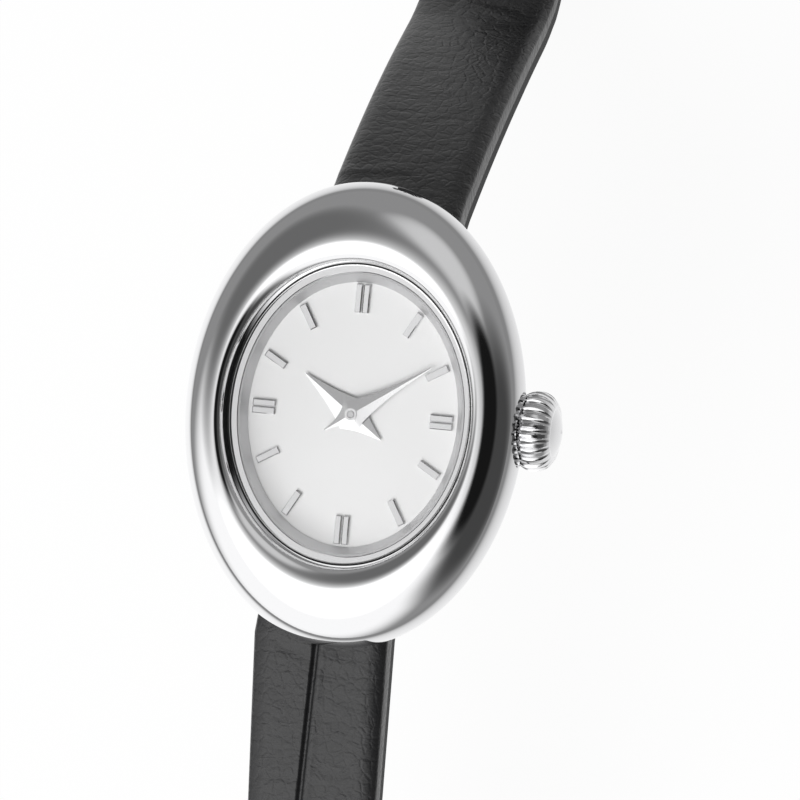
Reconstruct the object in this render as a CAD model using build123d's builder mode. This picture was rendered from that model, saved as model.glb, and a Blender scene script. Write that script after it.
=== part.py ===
from build123d import *
import os
from math import acos, asin, atan2, cos, degrees, pi, radians, sin, tan

# An oval wristwatch with a two-piece leather strap, in millimetres.
# The dial faces +Z, 12 o'clock is +Y and the crown is at +X.
# The origin is the centre of the case back's outer face.
# The watch stands as an arch: both strap halves reach down to one floor.

# Case
case_width = 24.0
case_length = 32.0
case_height = 7.1
case_bottom_height = 0.7
case_bottom_inset = 1.8
girdle_height = 4.3
girdle_radius = 0.8
shoulder_height = 6.1
shoulder_inset = 0.55
shoulder_radius = 0.45
bezel_slope_angle = 31.0
crest_radius = 1.2
crest_flat = 0.1
bowl_floor_height = 5.9
bowl_side_inset = 3.28
bowl_end_inset = 5.55
bowl_turn_shares = (0, 0.12, 0.3, 0.5, 0.75, 1)
bowl_roll_share = 0.45
overrun = 1.0

# Hidden lugs and spring bars
bar_distance = 11.6
bar_height = 1.3
bar_diameter = 1.5
bar_pin_diameter = 0.8
bar_pin_reach = 0.5
bar_side_gap = 0.15
lug_gap = 12.6
lug_thickness = 0.7
lug_nose_radius = 0.75
lug_root_height = 3.8
lug_root_length = 2.5
lug_edge_inset = 0.7
strap_slot_wall = 10.1
strap_slot_ceiling = 2.95

# Case back
back_width = 19.0
back_length = 19.9
back_thickness = case_bottom_height
back_corner = 6.7
back_edge = 0.25
back_rim_height = 0.8
back_rim_wall = 0.7
back_notch_width = 2.4
back_notch_depth = 0.5
back_notch_height = 0.3
back_gasket_width = 0.25
back_gasket_thickness = 0.3
back_gasket_space = 0.05
cavity_width = 17.2
cavity_length = 18.6
cavity_corner = 6.0
seat_gap = 0.05

# Crystal, ring and dial
crystal_width = 16.6
crystal_length = 20.1
crystal_thickness = 0.8
crystal_edge = 0.1
crystal_seat_height = 5.2
crystal_gasket_width = 0.3
ring_width = 15.9
ring_length = 19.4
ring_opening_width = 14.7
ring_opening_length = 18.0
ring_edge = 0.08
dial_face_height = 4.3
dial_thickness = 0.4
dial_width = 15.3
dial_length = 18.5
dial_hole_diameter = 1.5
dial_foot_diameter = 0.7
dial_foot_length = 0.9
dial_foot_places = ((-4.2, 4.6), (4.2, -5.2))

# Hour batons: both ends follow an ellipse
hours = 12
baton_reach_width = 14.06
baton_reach_length = 17.7
baton_start_width = 10.9
baton_start_length = 13.84
baton_height = 0.25
baton_edge = 0.05
single_baton_width = 0.48
double_baton_width = 0.42
double_baton_gap = 0.12

# Hands
minute_hand_angle = 55.7
minute_hand_reach = 6.4
minute_hand_tail = 2.13
minute_hand_width = 2.06
minute_hand_lift = 0.48
hour_hand_angle = -54.3
hour_hand_reach = 4.3
hour_hand_tail = 2.65
hour_hand_width = 2.54
hour_hand_lift = 0.15
hand_thickness = 0.17
hand_hollow = 0.09
hub_ring_diameter = 0.84
hub_ring_lift = 0.06
hub_ring_edge = 0.05
post_diameter = 0.44
post_stand = 0.03

# Movement outline and levels, from the back to the dial
movement_width = 12.4
movement_length = 15.2
movement_corner = 2.4
movement_back_height = 1.3
plate_back_height = 2.5
bridge_thickness = 0.25
holder_gap = 0.1
works_recess_depth = 0.7
foot_radius = 0.5
screw_head_diameter = 0.8
screw_head_height = 0.18
screw_diameter = 0.5
screw_slot_width = 0.14
screw_slot_depth = 0.08
screw_length = 1.7
bridge_side_foot_places = ((-1.9, 1.3), (2.75, 0.75))
bridge_rotor_foot_distance = 1.7

# Toothed wheels: tooth counts, modules and levels
tooth_addendum_share = 0.9
tooth_dedendum_share = 1.2
tooth_root_share = 0.29
tooth_tip_share = 0.12
cannon_teeth = 12
minute_wheel_teeth = 36
minute_pinion_teeth = 10
hour_wheel_teeth = 40
works_distance = 2.4
setting_wheel_teeth = 20
setting_wheel_place = 2.7
center_wheel_teeth = 30
third_pinion_teeth = 10
third_wheel_teeth = 30
intermediate_pinion_teeth = 6
intermediate_wheel_teeth = 36
rotor_pinion_teeth = 6
center_module = 0.1
third_module = 0.08
intermediate_module = 0.06
wheel_thickness = 0.16
pinion_thickness = 0.24
works_low_height = 3.25
works_high_height = 3.5
train_low_height = 1.62
train_middle_height = 1.93
train_high_height = 2.22
arbor_radius = 0.1
arbor_gap = 0.03
center_arbor_radius = 0.2
hour_pipe_radius = 0.55
hour_pipe_bore_radius = 0.4
cannon_radius = 0.35
wheel_post_radius = 0.2
third_wheel_direction = -60
intermediate_wheel_direction = -75
rotor_direction = -90
rotor_magnet_radius = 0.45
rotor_magnet_height = 0.32

# Electrical pieces
battery_diameter = 5.8
battery_thickness = 2.15
battery_place = (-2.9, -4.4)
battery_edge = 0.2
battery_gap = 0.1
clamp_width = 1.4
clamp_thickness = 0.2
clamp_screw_place = (-4.9, -0.5)
clamp_tip_place = (-2.9, -4.6)
stator_height = 2.05
stator_thickness = 0.35
stator_bore_radius = 0.58
coil_place = 4.45
coil_start = -6.2
coil_end = -2.3
coil_diameter = 1.1
coil_core_width = 0.7
coil_core_thickness = 0.3
coil_core_overlap = 0.8
board_thickness = 0.15
board_width = 11.0
board_length = 4.3
board_middle = 4.85
board_corner = 1.6
board_foot_places = ((-4.7, 3.4), (4.7, 3.4))
oscillator_diameter = 1.3
oscillator_length = 5.4
oscillator_place = 6.0
oscillator_gap = 0.1
chip_size = 1.7
chip_height = 0.4
chip_place = (-1.9, 4.2)

# Crown and winding stem
crown_axis_height = 3.1
crown_diameter = 5.5
crown_belly_overhang = 0.6
crown_inner_inset = 0.5
crown_outer_overhang = 1.9
crown_station_shares = (0, 0.3, 0.6, 0.8, 1)
crown_outer_diameter = 3.74
crown_flutes = 24
flute_width = 0.56
flute_depth = 0.19
flute_end_depth_share = 0.12
flute_end_width_share = 0.65
crown_cap_diameter = 3.3
crown_cap_rise = 0.4
crown_cap_seat = 0.3
crown_recess_diameter = 5.0
crown_recess_inset = 0.6
crown_bore_diameter = 2.3
crown_end_wall = 0.9
crown_pull = 0.8
tube_diameter = 2.0
tube_bore_diameter = 1.1
tube_end_gap = 0.1
o_ring_setback = 1.25
o_ring_width = 0.4
o_ring_groove = 0.3
o_ring_gap = 0.05
stem_diameter = 0.9
stem_inner_end = 3.88
stem_thread_length = 0.4
stem_groove_diameter = 0.6
stem_groove_place = 5.2
stem_groove_width = 0.3
clutch_start = 3.95
clutch_length = 0.8
clutch_diameter = 1.4
clutch_bore_diameter = 1.0
clutch_groove_diameter = 1.15
clutch_groove_width = 0.3
clutch_teeth = 12
clutch_tooth_width = 0.13
clutch_tooth_depth = 0.15
clutch_gap = 0.12
lever_pivot_distance = 1.7
lever_height = 3.56
lever_thickness = 0.2
lever_width = 0.5
lever_pin_radius = 0.12
lever_pin_gap = 0.02
lever_pivot_radius = 0.2
lever_space = 0.15

# Strap leather: distances run along the strap from its spring bar
strap_width = 9.6
strap_tip_width = 8.0
lining_thickness = 0.8
top_thickness_at_case = 1.7
top_thickness_at_end = 1.1
top_taper_length = 40.0
seam_offset = -0.45
strap_loop_radius = 1.25
strap_loop_bore_radius = 0.85
lining_gap = 0.05
stations = 18

# Upper strap half, on the 12 o'clock side
upper_shift = 0.5
upper_dip_angle = 45.0
upper_back_bend_angle = 11.0
upper_back_length = 27.0
upper_heel_radius = 18.0
upper_flat_length = 24.0
upper_taper_start = 29.0

# Lower strap half, on the 6 o'clock side
lower_shift = -1.4
lower_width = 9.4
lower_dip_angle = 6.5
lower_straight_length = 17.0
lower_slope_angle = 45.0
lower_flat_length = 21.0
lower_taper_middle = 40.0
lower_taper_middle_width = 8.5
lower_point_length = 6.0
lower_point_width = 3.0
lower_point_radius = 1.3
lower_shoulder_radius = 8.0
hole_count = 7
hole_spacing = 6.0
hole_diameter = 1.7
last_hole_to_tip = 16.0

# Keepers and buckle
keeper_length = 3.0
keeper_wall = 0.8
keeper_side_gap = 0.25
keeper_top_gap = 2.1
keeper_corner = 0.7
keeper_under_gap = 0.15
fixed_keeper_to_buckle = 4.2
sliding_keeper_to_buckle = 12.5
buckle_width = 11.2
buckle_inner_width = 8.6
buckle_length = 8.0
buckle_front_width = 1.6
buckle_back_overhang = 1.0
buckle_thickness = 1.3
buckle_corner = 2.4
buckle_edge = 0.3
buckle_bar_diameter = 1.1
buckle_bar_gap = 0.06
buckle_loop_radius = 0.95
tongue_width = 1.1
tongue_eye_radius = 0.9
tongue_thickness = 0.55
tongue_seat_depth = 0.25
tongue_overhang = 0.2
tongue_slot_width = 1.7
tongue_slot_length = 2.6
tongue_gap = 0.06

# Places and sizes that follow from the ones above
oval_stretch = case_length / case_width
girdle_x = case_width / 2
shoulder_x = girdle_x - shoulder_inset
case_bottom_x = girdle_x - case_bottom_inset
bezel_top_x = shoulder_x - (case_height - shoulder_height) / tan(radians(bezel_slope_angle))
crest_x = bezel_top_x - crest_radius * tan(radians(bezel_slope_angle / 2))
bowl_rim_x = crest_x - crest_flat
bowl_rim_y = crest_x * oval_stretch - crest_flat
bowl_floor_x = girdle_x - bowl_side_inset
bowl_floor_y = case_length / 2 - bowl_end_inset
dial_back_height = dial_face_height - dial_thickness
works_floor_height = dial_back_height - works_recess_depth
holder_start_height = back_thickness + back_rim_height
cannon_module = 2 * works_distance / (cannon_teeth + minute_wheel_teeth)
hour_module = 2 * works_distance / (minute_pinion_teeth + hour_wheel_teeth)
setting_distance = cannon_module * (minute_wheel_teeth + setting_wheel_teeth) / 2
crown_belly_place = girdle_x + crown_belly_overhang
crown_inner_place = girdle_x - crown_inner_inset
crown_outer_place = girdle_x + crown_outer_overhang
crown_recess_place = girdle_x - crown_recess_inset
crown_bore_end = crown_outer_place - crown_end_wall
tube_end = crown_bore_end - tube_end_gap
o_ring_place = tube_end - o_ring_setback
crown_bulge_drop = (crown_diameter - crown_outer_diameter) / 2
crown_bulge_run = crown_outer_place - crown_belly_place
crown_bulge_radius = (crown_bulge_run**2 + crown_bulge_drop**2) / (2 * crown_bulge_drop)
crown_bulge_center = crown_diameter / 2 - crown_bulge_radius


def toothed_outline(teeth, module, tooth_angle=0):
    """Draw a toothed wheel in the current sketch, with one tooth at the given angle."""
    root = module * (teeth / 2 - tooth_dedendum_share)
    tip = module * (teeth / 2 + tooth_addendum_share)
    root_half = tooth_root_share * pi * module
    tip_half = tooth_tip_share * pi * module
    inner = root * cos(pi / teeth)
    Circle(root)
    with PolarLocations(0, teeth, start_angle=tooth_angle):
        Polygon((inner, -root_half), (tip, -tip_half), (tip, tip_half), (inner, root_half), align=None)


def meshed_angle(tooth_angle, teeth, direction, other_teeth):
    """Return the tooth angle of a wheel that lies in a direction from a meshed wheel."""
    pitch = 360 / teeth
    lead = (tooth_angle - direction + pitch / 2) % pitch - pitch / 2
    return direction + 180 - lead * teeth / other_teeth + 180 / other_teeth


def polar(distance, direction):
    """Return the X and Y of a point at a distance and direction from the dial's centre."""
    return distance * cos(radians(direction)), distance * sin(radians(direction))


def step_from(place, distance, direction):
    """Return the point that lies at a distance and direction from a place."""
    across, along = polar(distance, direction)
    return place[0] + across, place[1] + along


def ellipse_reach(width, length, direction):
    """Return an ellipse's radius in a direction."""
    across = cos(radians(direction)) / (width / 2)
    along = sin(radians(direction)) / (length / 2)
    return 1 / (across**2 + along**2) ** 0.5


def draw_batons(hour, width, count):
    """Draw the batons of one hour, side by side, in the current sketch."""
    direction = 90 - 360 * hour / hours
    outer_reach = ellipse_reach(baton_reach_width, baton_reach_length, direction)
    inner_reach = ellipse_reach(baton_start_width, baton_start_length, direction)
    with Locations(Location(polar((outer_reach + inner_reach) / 2, direction), direction)):
        with GridLocations(0, width + double_baton_gap, 1, count):
            Rectangle(outer_reach - inner_reach, width)


# Axes of the wheels in the plane of the movement
setting_wheel_center = (setting_wheel_place, 0)
minute_wheel_direction = degrees(
    acos(
        (works_distance**2 + setting_wheel_place**2 - setting_distance**2)
        / (2 * works_distance * setting_wheel_place)
    )
)
minute_wheel_center = polar(works_distance, minute_wheel_direction)
setting_wheel_direction = degrees(
    atan2(-minute_wheel_center[1], setting_wheel_place - minute_wheel_center[0])
)
third_distance = center_module * (center_wheel_teeth + third_pinion_teeth) / 2
intermediate_distance = third_module * (third_wheel_teeth + intermediate_pinion_teeth) / 2
rotor_distance = intermediate_module * (intermediate_wheel_teeth + rotor_pinion_teeth) / 2
third_center = polar(third_distance, third_wheel_direction)
intermediate_center = step_from(third_center, intermediate_distance, intermediate_wheel_direction)
rotor_center = step_from(intermediate_center, rotor_distance, rotor_direction)
rotor_foot_place = step_from(rotor_center, bridge_rotor_foot_distance, rotor_direction)
bridge_foot_places = bridge_side_foot_places + (rotor_foot_place,)
screw_places = bridge_foot_places + board_foot_places + (clamp_screw_place,)

# Tooth angles, so that every pair is in mesh at rest
cannon_tooth = minute_wheel_direction
minute_wheel_tooth = meshed_angle(
    cannon_tooth, cannon_teeth, minute_wheel_direction, minute_wheel_teeth
)
hour_wheel_tooth = minute_wheel_direction
minute_pinion_tooth = meshed_angle(
    hour_wheel_tooth, hour_wheel_teeth, minute_wheel_direction, minute_pinion_teeth
)
setting_wheel_tooth = meshed_angle(
    minute_wheel_tooth, minute_wheel_teeth, setting_wheel_direction, setting_wheel_teeth
)
center_wheel_tooth = third_wheel_direction
third_pinion_tooth = meshed_angle(
    center_wheel_tooth, center_wheel_teeth, third_wheel_direction, third_pinion_teeth
)
third_wheel_tooth = intermediate_wheel_direction
intermediate_pinion_tooth = meshed_angle(
    third_wheel_tooth, third_wheel_teeth, intermediate_wheel_direction, intermediate_pinion_teeth
)
intermediate_wheel_tooth = rotor_direction
rotor_pinion_tooth = meshed_angle(
    intermediate_wheel_tooth, intermediate_wheel_teeth, rotor_direction, rotor_pinion_teeth
)

# Setting lever: its pin runs from one side of the pivot to the other as the crown is pulled
lever_pivot_x = stem_groove_place + crown_pull / 2
lever_pin_y = lever_pivot_distance
lever_swing = 2 * degrees(asin(crown_pull / 2 / lever_pivot_distance))

# Strap paths: stretches of a length and the turn in it, in degrees, from a first dip
upper_heel_turn = -(upper_dip_angle + upper_back_bend_angle)
upper_path = (
    (upper_back_length, upper_back_bend_angle),
    (upper_heel_radius * radians(-upper_heel_turn), upper_heel_turn),
    (upper_flat_length, 0),
)
upper_length = sum(length for length, turn in upper_path)


def path_place(path, first_dip, distance):
    """Return the run, the drop and the dip at a distance along a strap."""
    run = 0
    drop = 0
    dip = radians(first_dip)
    for length, turn in path:
        step = min(distance, length)
        distance -= step
        if turn:
            bend = radians(turn)
            radius = length / bend
            new_dip = dip + bend * step / length
            run += radius * (sin(new_dip) - sin(dip))
            drop += radius * (cos(dip) - cos(new_dip))
            dip = new_dip
        else:
            run += step * cos(dip)
            drop += step * sin(dip)
    return run, drop, dip


upper_run, upper_drop, _ = path_place(upper_path, upper_dip_angle, upper_length)
upper_flat_height = bar_height - upper_drop
upper_bottom_height = upper_flat_height + seam_offset - lining_thickness
floor_height = upper_bottom_height - keeper_under_gap - keeper_wall

# The lower half comes down to the same floor by two equal bends
lower_flat_height = floor_height - seam_offset + lining_thickness
lower_bend_drop = bar_height - lower_flat_height - lower_straight_length * sin(radians(lower_dip_angle))
lower_bend_radius = lower_bend_drop / (
    cos(radians(lower_dip_angle)) - cos(radians(lower_slope_angle)) + 1 - cos(radians(lower_slope_angle))
)
lower_path = (
    (lower_straight_length, 0),
    (lower_bend_radius * radians(lower_slope_angle - lower_dip_angle), lower_slope_angle - lower_dip_angle),
    (lower_bend_radius * radians(lower_slope_angle), -lower_slope_angle),
    (lower_flat_length, 0),
)
lower_length = sum(length for length, turn in lower_path)
lower_run = path_place(lower_path, lower_dip_angle, lower_length)[0]


def strap_point(side, path, first_dip, distance, offset):
    """Return the Y and Z of a point on a strap, offset from its path towards its outer face."""
    run, drop, dip = path_place(path, first_dip, distance)
    return side * (bar_distance + run + offset * sin(dip)), bar_height - drop + offset * cos(dip)


def top_offset_at(distance):
    """Return how far the outer face lies from the strap's path."""
    share = min(distance / top_taper_length, 1)
    blend = share * share * (3 - 2 * share)
    thickness = top_thickness_at_case + (top_thickness_at_end - top_thickness_at_case) * blend
    return seam_offset + thickness


def seam_offset_at(distance):
    """Return how far the seam between the two leathers lies from the strap's path."""
    return seam_offset


def inner_offset_at(distance):
    """Return how far the lining's free face lies from the strap's path."""
    return seam_offset - lining_thickness


def face_points(side, path, first_dip, offset_at):
    """Return evenly spaced points along one face of a strap's leather."""
    length = sum(stretch for stretch, turn in path)
    distances = [length * count / stations for count in range(stations + 1)]
    return [strap_point(side, path, first_dip, each, offset_at(each)) for each in distances]


def plan_points(side, shift, places):
    """Return a strap's plan outline from half widths at distances from the dial's centre."""
    right = [(shift + half, side * along) for along, half in places]
    left = [(shift - half, side * along) for along, half in reversed(places)]
    return right + left


def hole_plane(distance):
    """Return the plane on the lower strap's outer face at a hole."""
    along, height = strap_point(-1, lower_path, lower_dip_angle, distance, top_offset_at(distance))
    dip = path_place(lower_path, lower_dip_angle, distance)[2]
    return Plane((lower_shift, along, height), x_dir=(1, 0, 0), z_dir=(0, -sin(dip), cos(dip)))


# Case middle: a turned section stretched to an oval, with the bezel in one piece
with BuildPart() as hidden_lugs:
    with BuildSketch(Plane.YZ.offset(lug_gap / 2)):
        with Locations((bar_distance, bar_height)):
            Circle(lug_nose_radius)
        with BuildLine():
            Polyline(
                (bar_distance - lug_nose_radius, bar_height),
                (bar_distance + lug_nose_radius, bar_height),
                (bar_distance + lug_nose_radius, lug_root_height),
                (bar_distance - lug_root_length, lug_root_height),
                close=True,
            )
        make_face()
    extrude(amount=lug_thickness)
    with BuildSketch():
        Ellipse(girdle_x - lug_edge_inset, case_length / 2 - lug_edge_inset)
    extrude(amount=case_height, mode=Mode.INTERSECT)
    mirror(about=Plane.XZ)
    mirror(about=Plane.YZ)

with BuildPart() as case_middle:
    with BuildSketch(Plane.XZ) as case_section:
        with BuildLine():
            Polyline(
                (girdle_x, girdle_height),
                (shoulder_x, shoulder_height),
                (bezel_top_x, case_height),
                (0, case_height),
                (0, case_bottom_height),
                (case_bottom_x, case_bottom_height),
            )
            TangentArc(
                (girdle_x, girdle_height), (case_bottom_x, case_bottom_height), tangent=(0, -1)
            )
        make_face()
        for corner, corner_radius in (
            ((girdle_x, girdle_height), girdle_radius),
            ((shoulder_x, shoulder_height), shoulder_radius),
            ((bezel_top_x, case_height), crest_radius),
        ):
            fillet(case_section.vertices().sort_by_distance(corner)[0], radius=corner_radius)
    revolve(axis=Axis.Z)
    scale(by=(1, oval_stretch, 1))
    add(hidden_lugs.part)
    # The bezel's inner slope rolls from a steep wall to the level crest
    for turn_share in bowl_turn_shares:
        rise_share = sin(turn_share * pi / 2) ** bowl_roll_share
        spread_share = 1 - cos(turn_share * pi / 2)
        slope_height = bowl_floor_height + rise_share * (case_height - bowl_floor_height)
        with BuildSketch(Plane.XY.offset(slope_height)):
            Ellipse(
                bowl_floor_x + spread_share * (bowl_rim_x - bowl_floor_x),
                bowl_floor_y + spread_share * (bowl_rim_y - bowl_floor_y),
            )
    loft(mode=Mode.SUBTRACT)
    # Seats for the crystal, the ring and the dial, and the space for the movement
    with BuildSketch(Plane.XY.offset(crystal_seat_height)):
        Ellipse(crystal_width / 2 + crystal_gasket_width, crystal_length / 2 + crystal_gasket_width)
    extrude(amount=case_height - crystal_seat_height, mode=Mode.SUBTRACT)
    with BuildSketch(Plane.XY.offset(dial_face_height)):
        Ellipse(ring_width / 2 + seat_gap, ring_length / 2 + seat_gap)
    extrude(amount=case_height - dial_face_height, mode=Mode.SUBTRACT)
    with BuildSketch():
        Ellipse(dial_width / 2 + seat_gap, dial_length / 2 + seat_gap)
    extrude(amount=case_height, mode=Mode.SUBTRACT)
    with BuildSketch():
        RectangleRounded(cavity_width, cavity_length, cavity_corner)
    extrude(amount=dial_back_height, mode=Mode.SUBTRACT)
    with BuildSketch():
        RectangleRounded(
            cavity_width + 2 * (back_gasket_width + back_gasket_space),
            cavity_length + 2 * (back_gasket_width + back_gasket_space),
            cavity_corner + back_gasket_width + back_gasket_space,
        )
    extrude(
        amount=back_thickness + back_gasket_thickness + back_gasket_space, mode=Mode.SUBTRACT
    )
    # Slots for the strap ends, holes for the spring bars
    with BuildSketch():
        with GridLocations(0, strap_slot_wall + case_length, 1, 2):
            Rectangle(lug_gap, case_length - strap_slot_wall)
    extrude(amount=strap_slot_ceiling, mode=Mode.SUBTRACT)
    with BuildSketch(Plane.YZ):
        with Locations((bar_distance, bar_height), (-bar_distance, bar_height)):
            Circle(bar_pin_diameter / 2 + arbor_gap)
    extrude(amount=lug_gap / 2 + bar_pin_reach, both=True, mode=Mode.SUBTRACT)
    # Recess and hole for the crown
    with BuildSketch(Plane.YZ.offset(crown_recess_place)):
        with Locations((0, crown_axis_height)):
            Circle(crown_recess_diameter / 2)
    extrude(amount=overrun + girdle_x - crown_recess_place, mode=Mode.SUBTRACT)
    with BuildSketch(Plane.YZ):
        with Locations((0, crown_axis_height)):
            Circle(tube_diameter / 2)
    extrude(amount=crown_recess_place + overrun, mode=Mode.SUBTRACT)

with BuildPart() as case_back:
    with BuildSketch():
        RectangleRounded(back_width, back_length, back_corner)
    extrude(amount=back_thickness)
    chamfer(case_back.faces().sort_by(Axis.Z)[0].edges(), length=back_edge)
    with BuildSketch(Plane.XY.offset(back_thickness)):
        RectangleRounded(
            cavity_width - 2 * seat_gap, cavity_length - 2 * seat_gap, cavity_corner - seat_gap
        )
        RectangleRounded(
            cavity_width - 2 * (seat_gap + back_rim_wall),
            cavity_length - 2 * (seat_gap + back_rim_wall),
            cavity_corner - seat_gap - back_rim_wall,
            mode=Mode.SUBTRACT,
        )
    extrude(amount=back_rim_height)
    # Notch where a case knife lifts the back
    with BuildSketch(Plane.XY.offset(back_thickness - back_notch_height)):
        with Locations((-back_width / 2, 0)):
            Rectangle(2 * back_notch_depth, back_notch_width)
    extrude(amount=back_notch_height, mode=Mode.SUBTRACT)

with BuildPart() as case_back_gasket:
    with BuildSketch(Plane.XY.offset(back_thickness)):
        RectangleRounded(
            cavity_width + 2 * back_gasket_width,
            cavity_length + 2 * back_gasket_width,
            cavity_corner + back_gasket_width,
        )
        RectangleRounded(
            cavity_width - 2 * seat_gap,
            cavity_length - 2 * seat_gap,
            cavity_corner - seat_gap,
            mode=Mode.SUBTRACT,
        )
    extrude(amount=back_gasket_thickness)

with BuildPart() as crystal:
    with BuildSketch(Plane.XY.offset(crystal_seat_height)):
        Ellipse(crystal_width / 2, crystal_length / 2)
    extrude(amount=crystal_thickness)
    chamfer(crystal.faces().sort_by(Axis.Z)[-1].edges(), length=crystal_edge)

with BuildPart() as crystal_gasket:
    with BuildSketch(Plane.XY.offset(crystal_seat_height)):
        Ellipse(crystal_width / 2 + crystal_gasket_width, crystal_length / 2 + crystal_gasket_width)
        Ellipse(crystal_width / 2, crystal_length / 2, mode=Mode.SUBTRACT)
    extrude(amount=bowl_floor_height - crystal_seat_height)

with BuildPart() as rehaut_ring:
    with BuildSketch(Plane.XY.offset(dial_face_height)):
        Ellipse(ring_width / 2, ring_length / 2)
        Ellipse(ring_opening_width / 2, ring_opening_length / 2, mode=Mode.SUBTRACT)
    extrude(amount=crystal_seat_height - dial_face_height)
    chamfer(rehaut_ring.faces().sort_by(Axis.Z)[-1].edges(), length=ring_edge)

with BuildPart() as dial:
    with BuildSketch(Plane.XY.offset(dial_back_height)):
        Ellipse(dial_width / 2, dial_length / 2)
        Circle(dial_hole_diameter / 2, mode=Mode.SUBTRACT)
    extrude(amount=dial_thickness)
    with BuildSketch(Plane.XY.offset(dial_back_height)):
        with Locations(*dial_foot_places):
            Circle(dial_foot_diameter / 2)
    extrude(amount=-dial_foot_length)

with BuildPart() as double_batons:
    with BuildSketch(Plane.XY.offset(dial_face_height)):
        for hour in range(0, hours, 3):
            draw_batons(hour, double_baton_width, 2)
    extrude(amount=baton_height)
    chamfer(double_batons.faces().filter_by(Plane.XY).group_by(Axis.Z)[-1].edges(), length=baton_edge)

with BuildPart() as single_batons:
    with BuildSketch(Plane.XY.offset(dial_face_height)):
        for hour in range(hours):
            if hour % 3:
                draw_batons(hour, single_baton_width, 1)
    extrude(amount=baton_height)
    chamfer(single_batons.faces().filter_by(Plane.XY).group_by(Axis.Z)[-1].edges(), length=baton_edge)

# Hands: slender kites with a hollow along the middle, so that each shows two facets
minute_hand_bottom = dial_face_height + minute_hand_lift
hour_hand_bottom = dial_face_height + hour_hand_lift
hour_hand_top = hour_hand_bottom + hand_thickness


def hand_blade(angle, reach, tail, width, bottom):
    """Return a hand's blade at an angle clockwise from 12 o'clock."""
    plane = Plane.XY.rotated((0, 0, -angle))
    tail_end = plane.from_local_coords((0, -tail, bottom + hand_thickness))
    with BuildPart() as blade:
        with BuildSketch(plane.offset(bottom)):
            Polygon((0, reach), (-width / 2, 0), (0, -tail), (width / 2, 0), align=None)
        extrude(amount=hand_thickness)
        with BuildSketch(Plane(tail_end, x_dir=plane.x_dir, z_dir=-plane.y_dir)):
            Polygon((-width / 2, 0), (0, -hand_hollow), (width / 2, 0), align=None)
        extrude(amount=-(tail + reach), mode=Mode.SUBTRACT)
    return blade.part


with BuildPart() as minute_hand:
    add(
        hand_blade(
            minute_hand_angle,
            minute_hand_reach,
            minute_hand_tail,
            minute_hand_width,
            minute_hand_bottom,
        )
    )
    with BuildSketch(Plane.XY.offset(minute_hand_bottom)):
        Circle(hub_ring_diameter / 2)
    extrude(amount=hand_thickness + hub_ring_lift)
    ring_top = minute_hand.faces().filter_by(Plane.XY).sort_by(Axis.Z)[-1]
    chamfer(ring_top.edges(), length=hub_ring_edge)
    with BuildSketch(Plane.XY.offset(minute_hand_bottom)):
        Circle(post_diameter / 2)
    extrude(amount=hand_thickness + hub_ring_lift, mode=Mode.SUBTRACT)

with BuildPart() as hour_hand:
    add(
        hand_blade(
            hour_hand_angle, hour_hand_reach, hour_hand_tail, hour_hand_width, hour_hand_bottom
        )
    )
    with BuildSketch(Plane.XY.offset(hour_hand_bottom)):
        Circle(hour_pipe_radius)
    extrude(amount=hand_thickness, mode=Mode.SUBTRACT)

# Motion works under the dial
with BuildPart() as cannon_pinion:
    with BuildSketch(Plane.XY.offset(works_low_height)):
        toothed_outline(cannon_teeth, cannon_module, cannon_tooth)
    extrude(amount=wheel_thickness)
    with BuildSketch(Plane.XY.offset(works_low_height)):
        Circle(cannon_radius)
    extrude(amount=minute_hand_bottom - works_low_height)
    with BuildSketch(Plane.XY.offset(minute_hand_bottom)):
        Circle(post_diameter / 2)
    extrude(amount=hand_thickness + hub_ring_lift + post_stand)

with BuildPart() as hour_wheel:
    with BuildSketch(Plane.XY.offset(works_high_height)):
        toothed_outline(hour_wheel_teeth, hour_module, hour_wheel_tooth)
    extrude(amount=wheel_thickness)
    with BuildSketch(Plane.XY.offset(works_high_height)):
        Circle(hour_pipe_radius)
    extrude(amount=hour_hand_top - works_high_height)
    with BuildSketch(Plane.XY.offset(works_high_height)):
        Circle(hour_pipe_bore_radius)
    extrude(amount=hour_hand_top - works_high_height, mode=Mode.SUBTRACT)

with BuildPart() as minute_wheel:
    with BuildSketch(Plane.XY.offset(works_low_height)):
        with Locations(minute_wheel_center):
            toothed_outline(minute_wheel_teeth, cannon_module, minute_wheel_tooth)
    extrude(amount=wheel_thickness)
    with BuildSketch(Plane.XY.offset(works_low_height)):
        with Locations(minute_wheel_center):
            toothed_outline(minute_pinion_teeth, hour_module, minute_pinion_tooth)
    extrude(amount=works_high_height + wheel_thickness - works_low_height)
    with BuildSketch(Plane.XY.offset(works_low_height)):
        with Locations(minute_wheel_center):
            Circle(wheel_post_radius + arbor_gap)
    extrude(amount=works_recess_depth, mode=Mode.SUBTRACT)

with BuildPart() as setting_wheel:
    with BuildSketch(Plane.XY.offset(works_low_height)):
        with Locations(setting_wheel_center):
            toothed_outline(setting_wheel_teeth, cannon_module, setting_wheel_tooth)
            Circle(wheel_post_radius + arbor_gap, mode=Mode.SUBTRACT)
    extrude(amount=wheel_thickness)

# Going train between the plate and the bridge
arbor_start_height = movement_back_height + bridge_thickness / 2
arbor_end_height = plate_back_height + bridge_thickness
with BuildPart() as center_wheel:
    with BuildSketch(Plane.XY.offset(train_high_height)):
        toothed_outline(center_wheel_teeth, center_module, center_wheel_tooth)
    extrude(amount=wheel_thickness)
    with BuildSketch(Plane.XY.offset(train_low_height)):
        Circle(center_arbor_radius)
    extrude(amount=works_low_height - train_low_height)
    with BuildSketch(Plane.XY.offset(arbor_start_height)):
        Circle(arbor_radius)
    extrude(amount=train_low_height - arbor_start_height)

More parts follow.
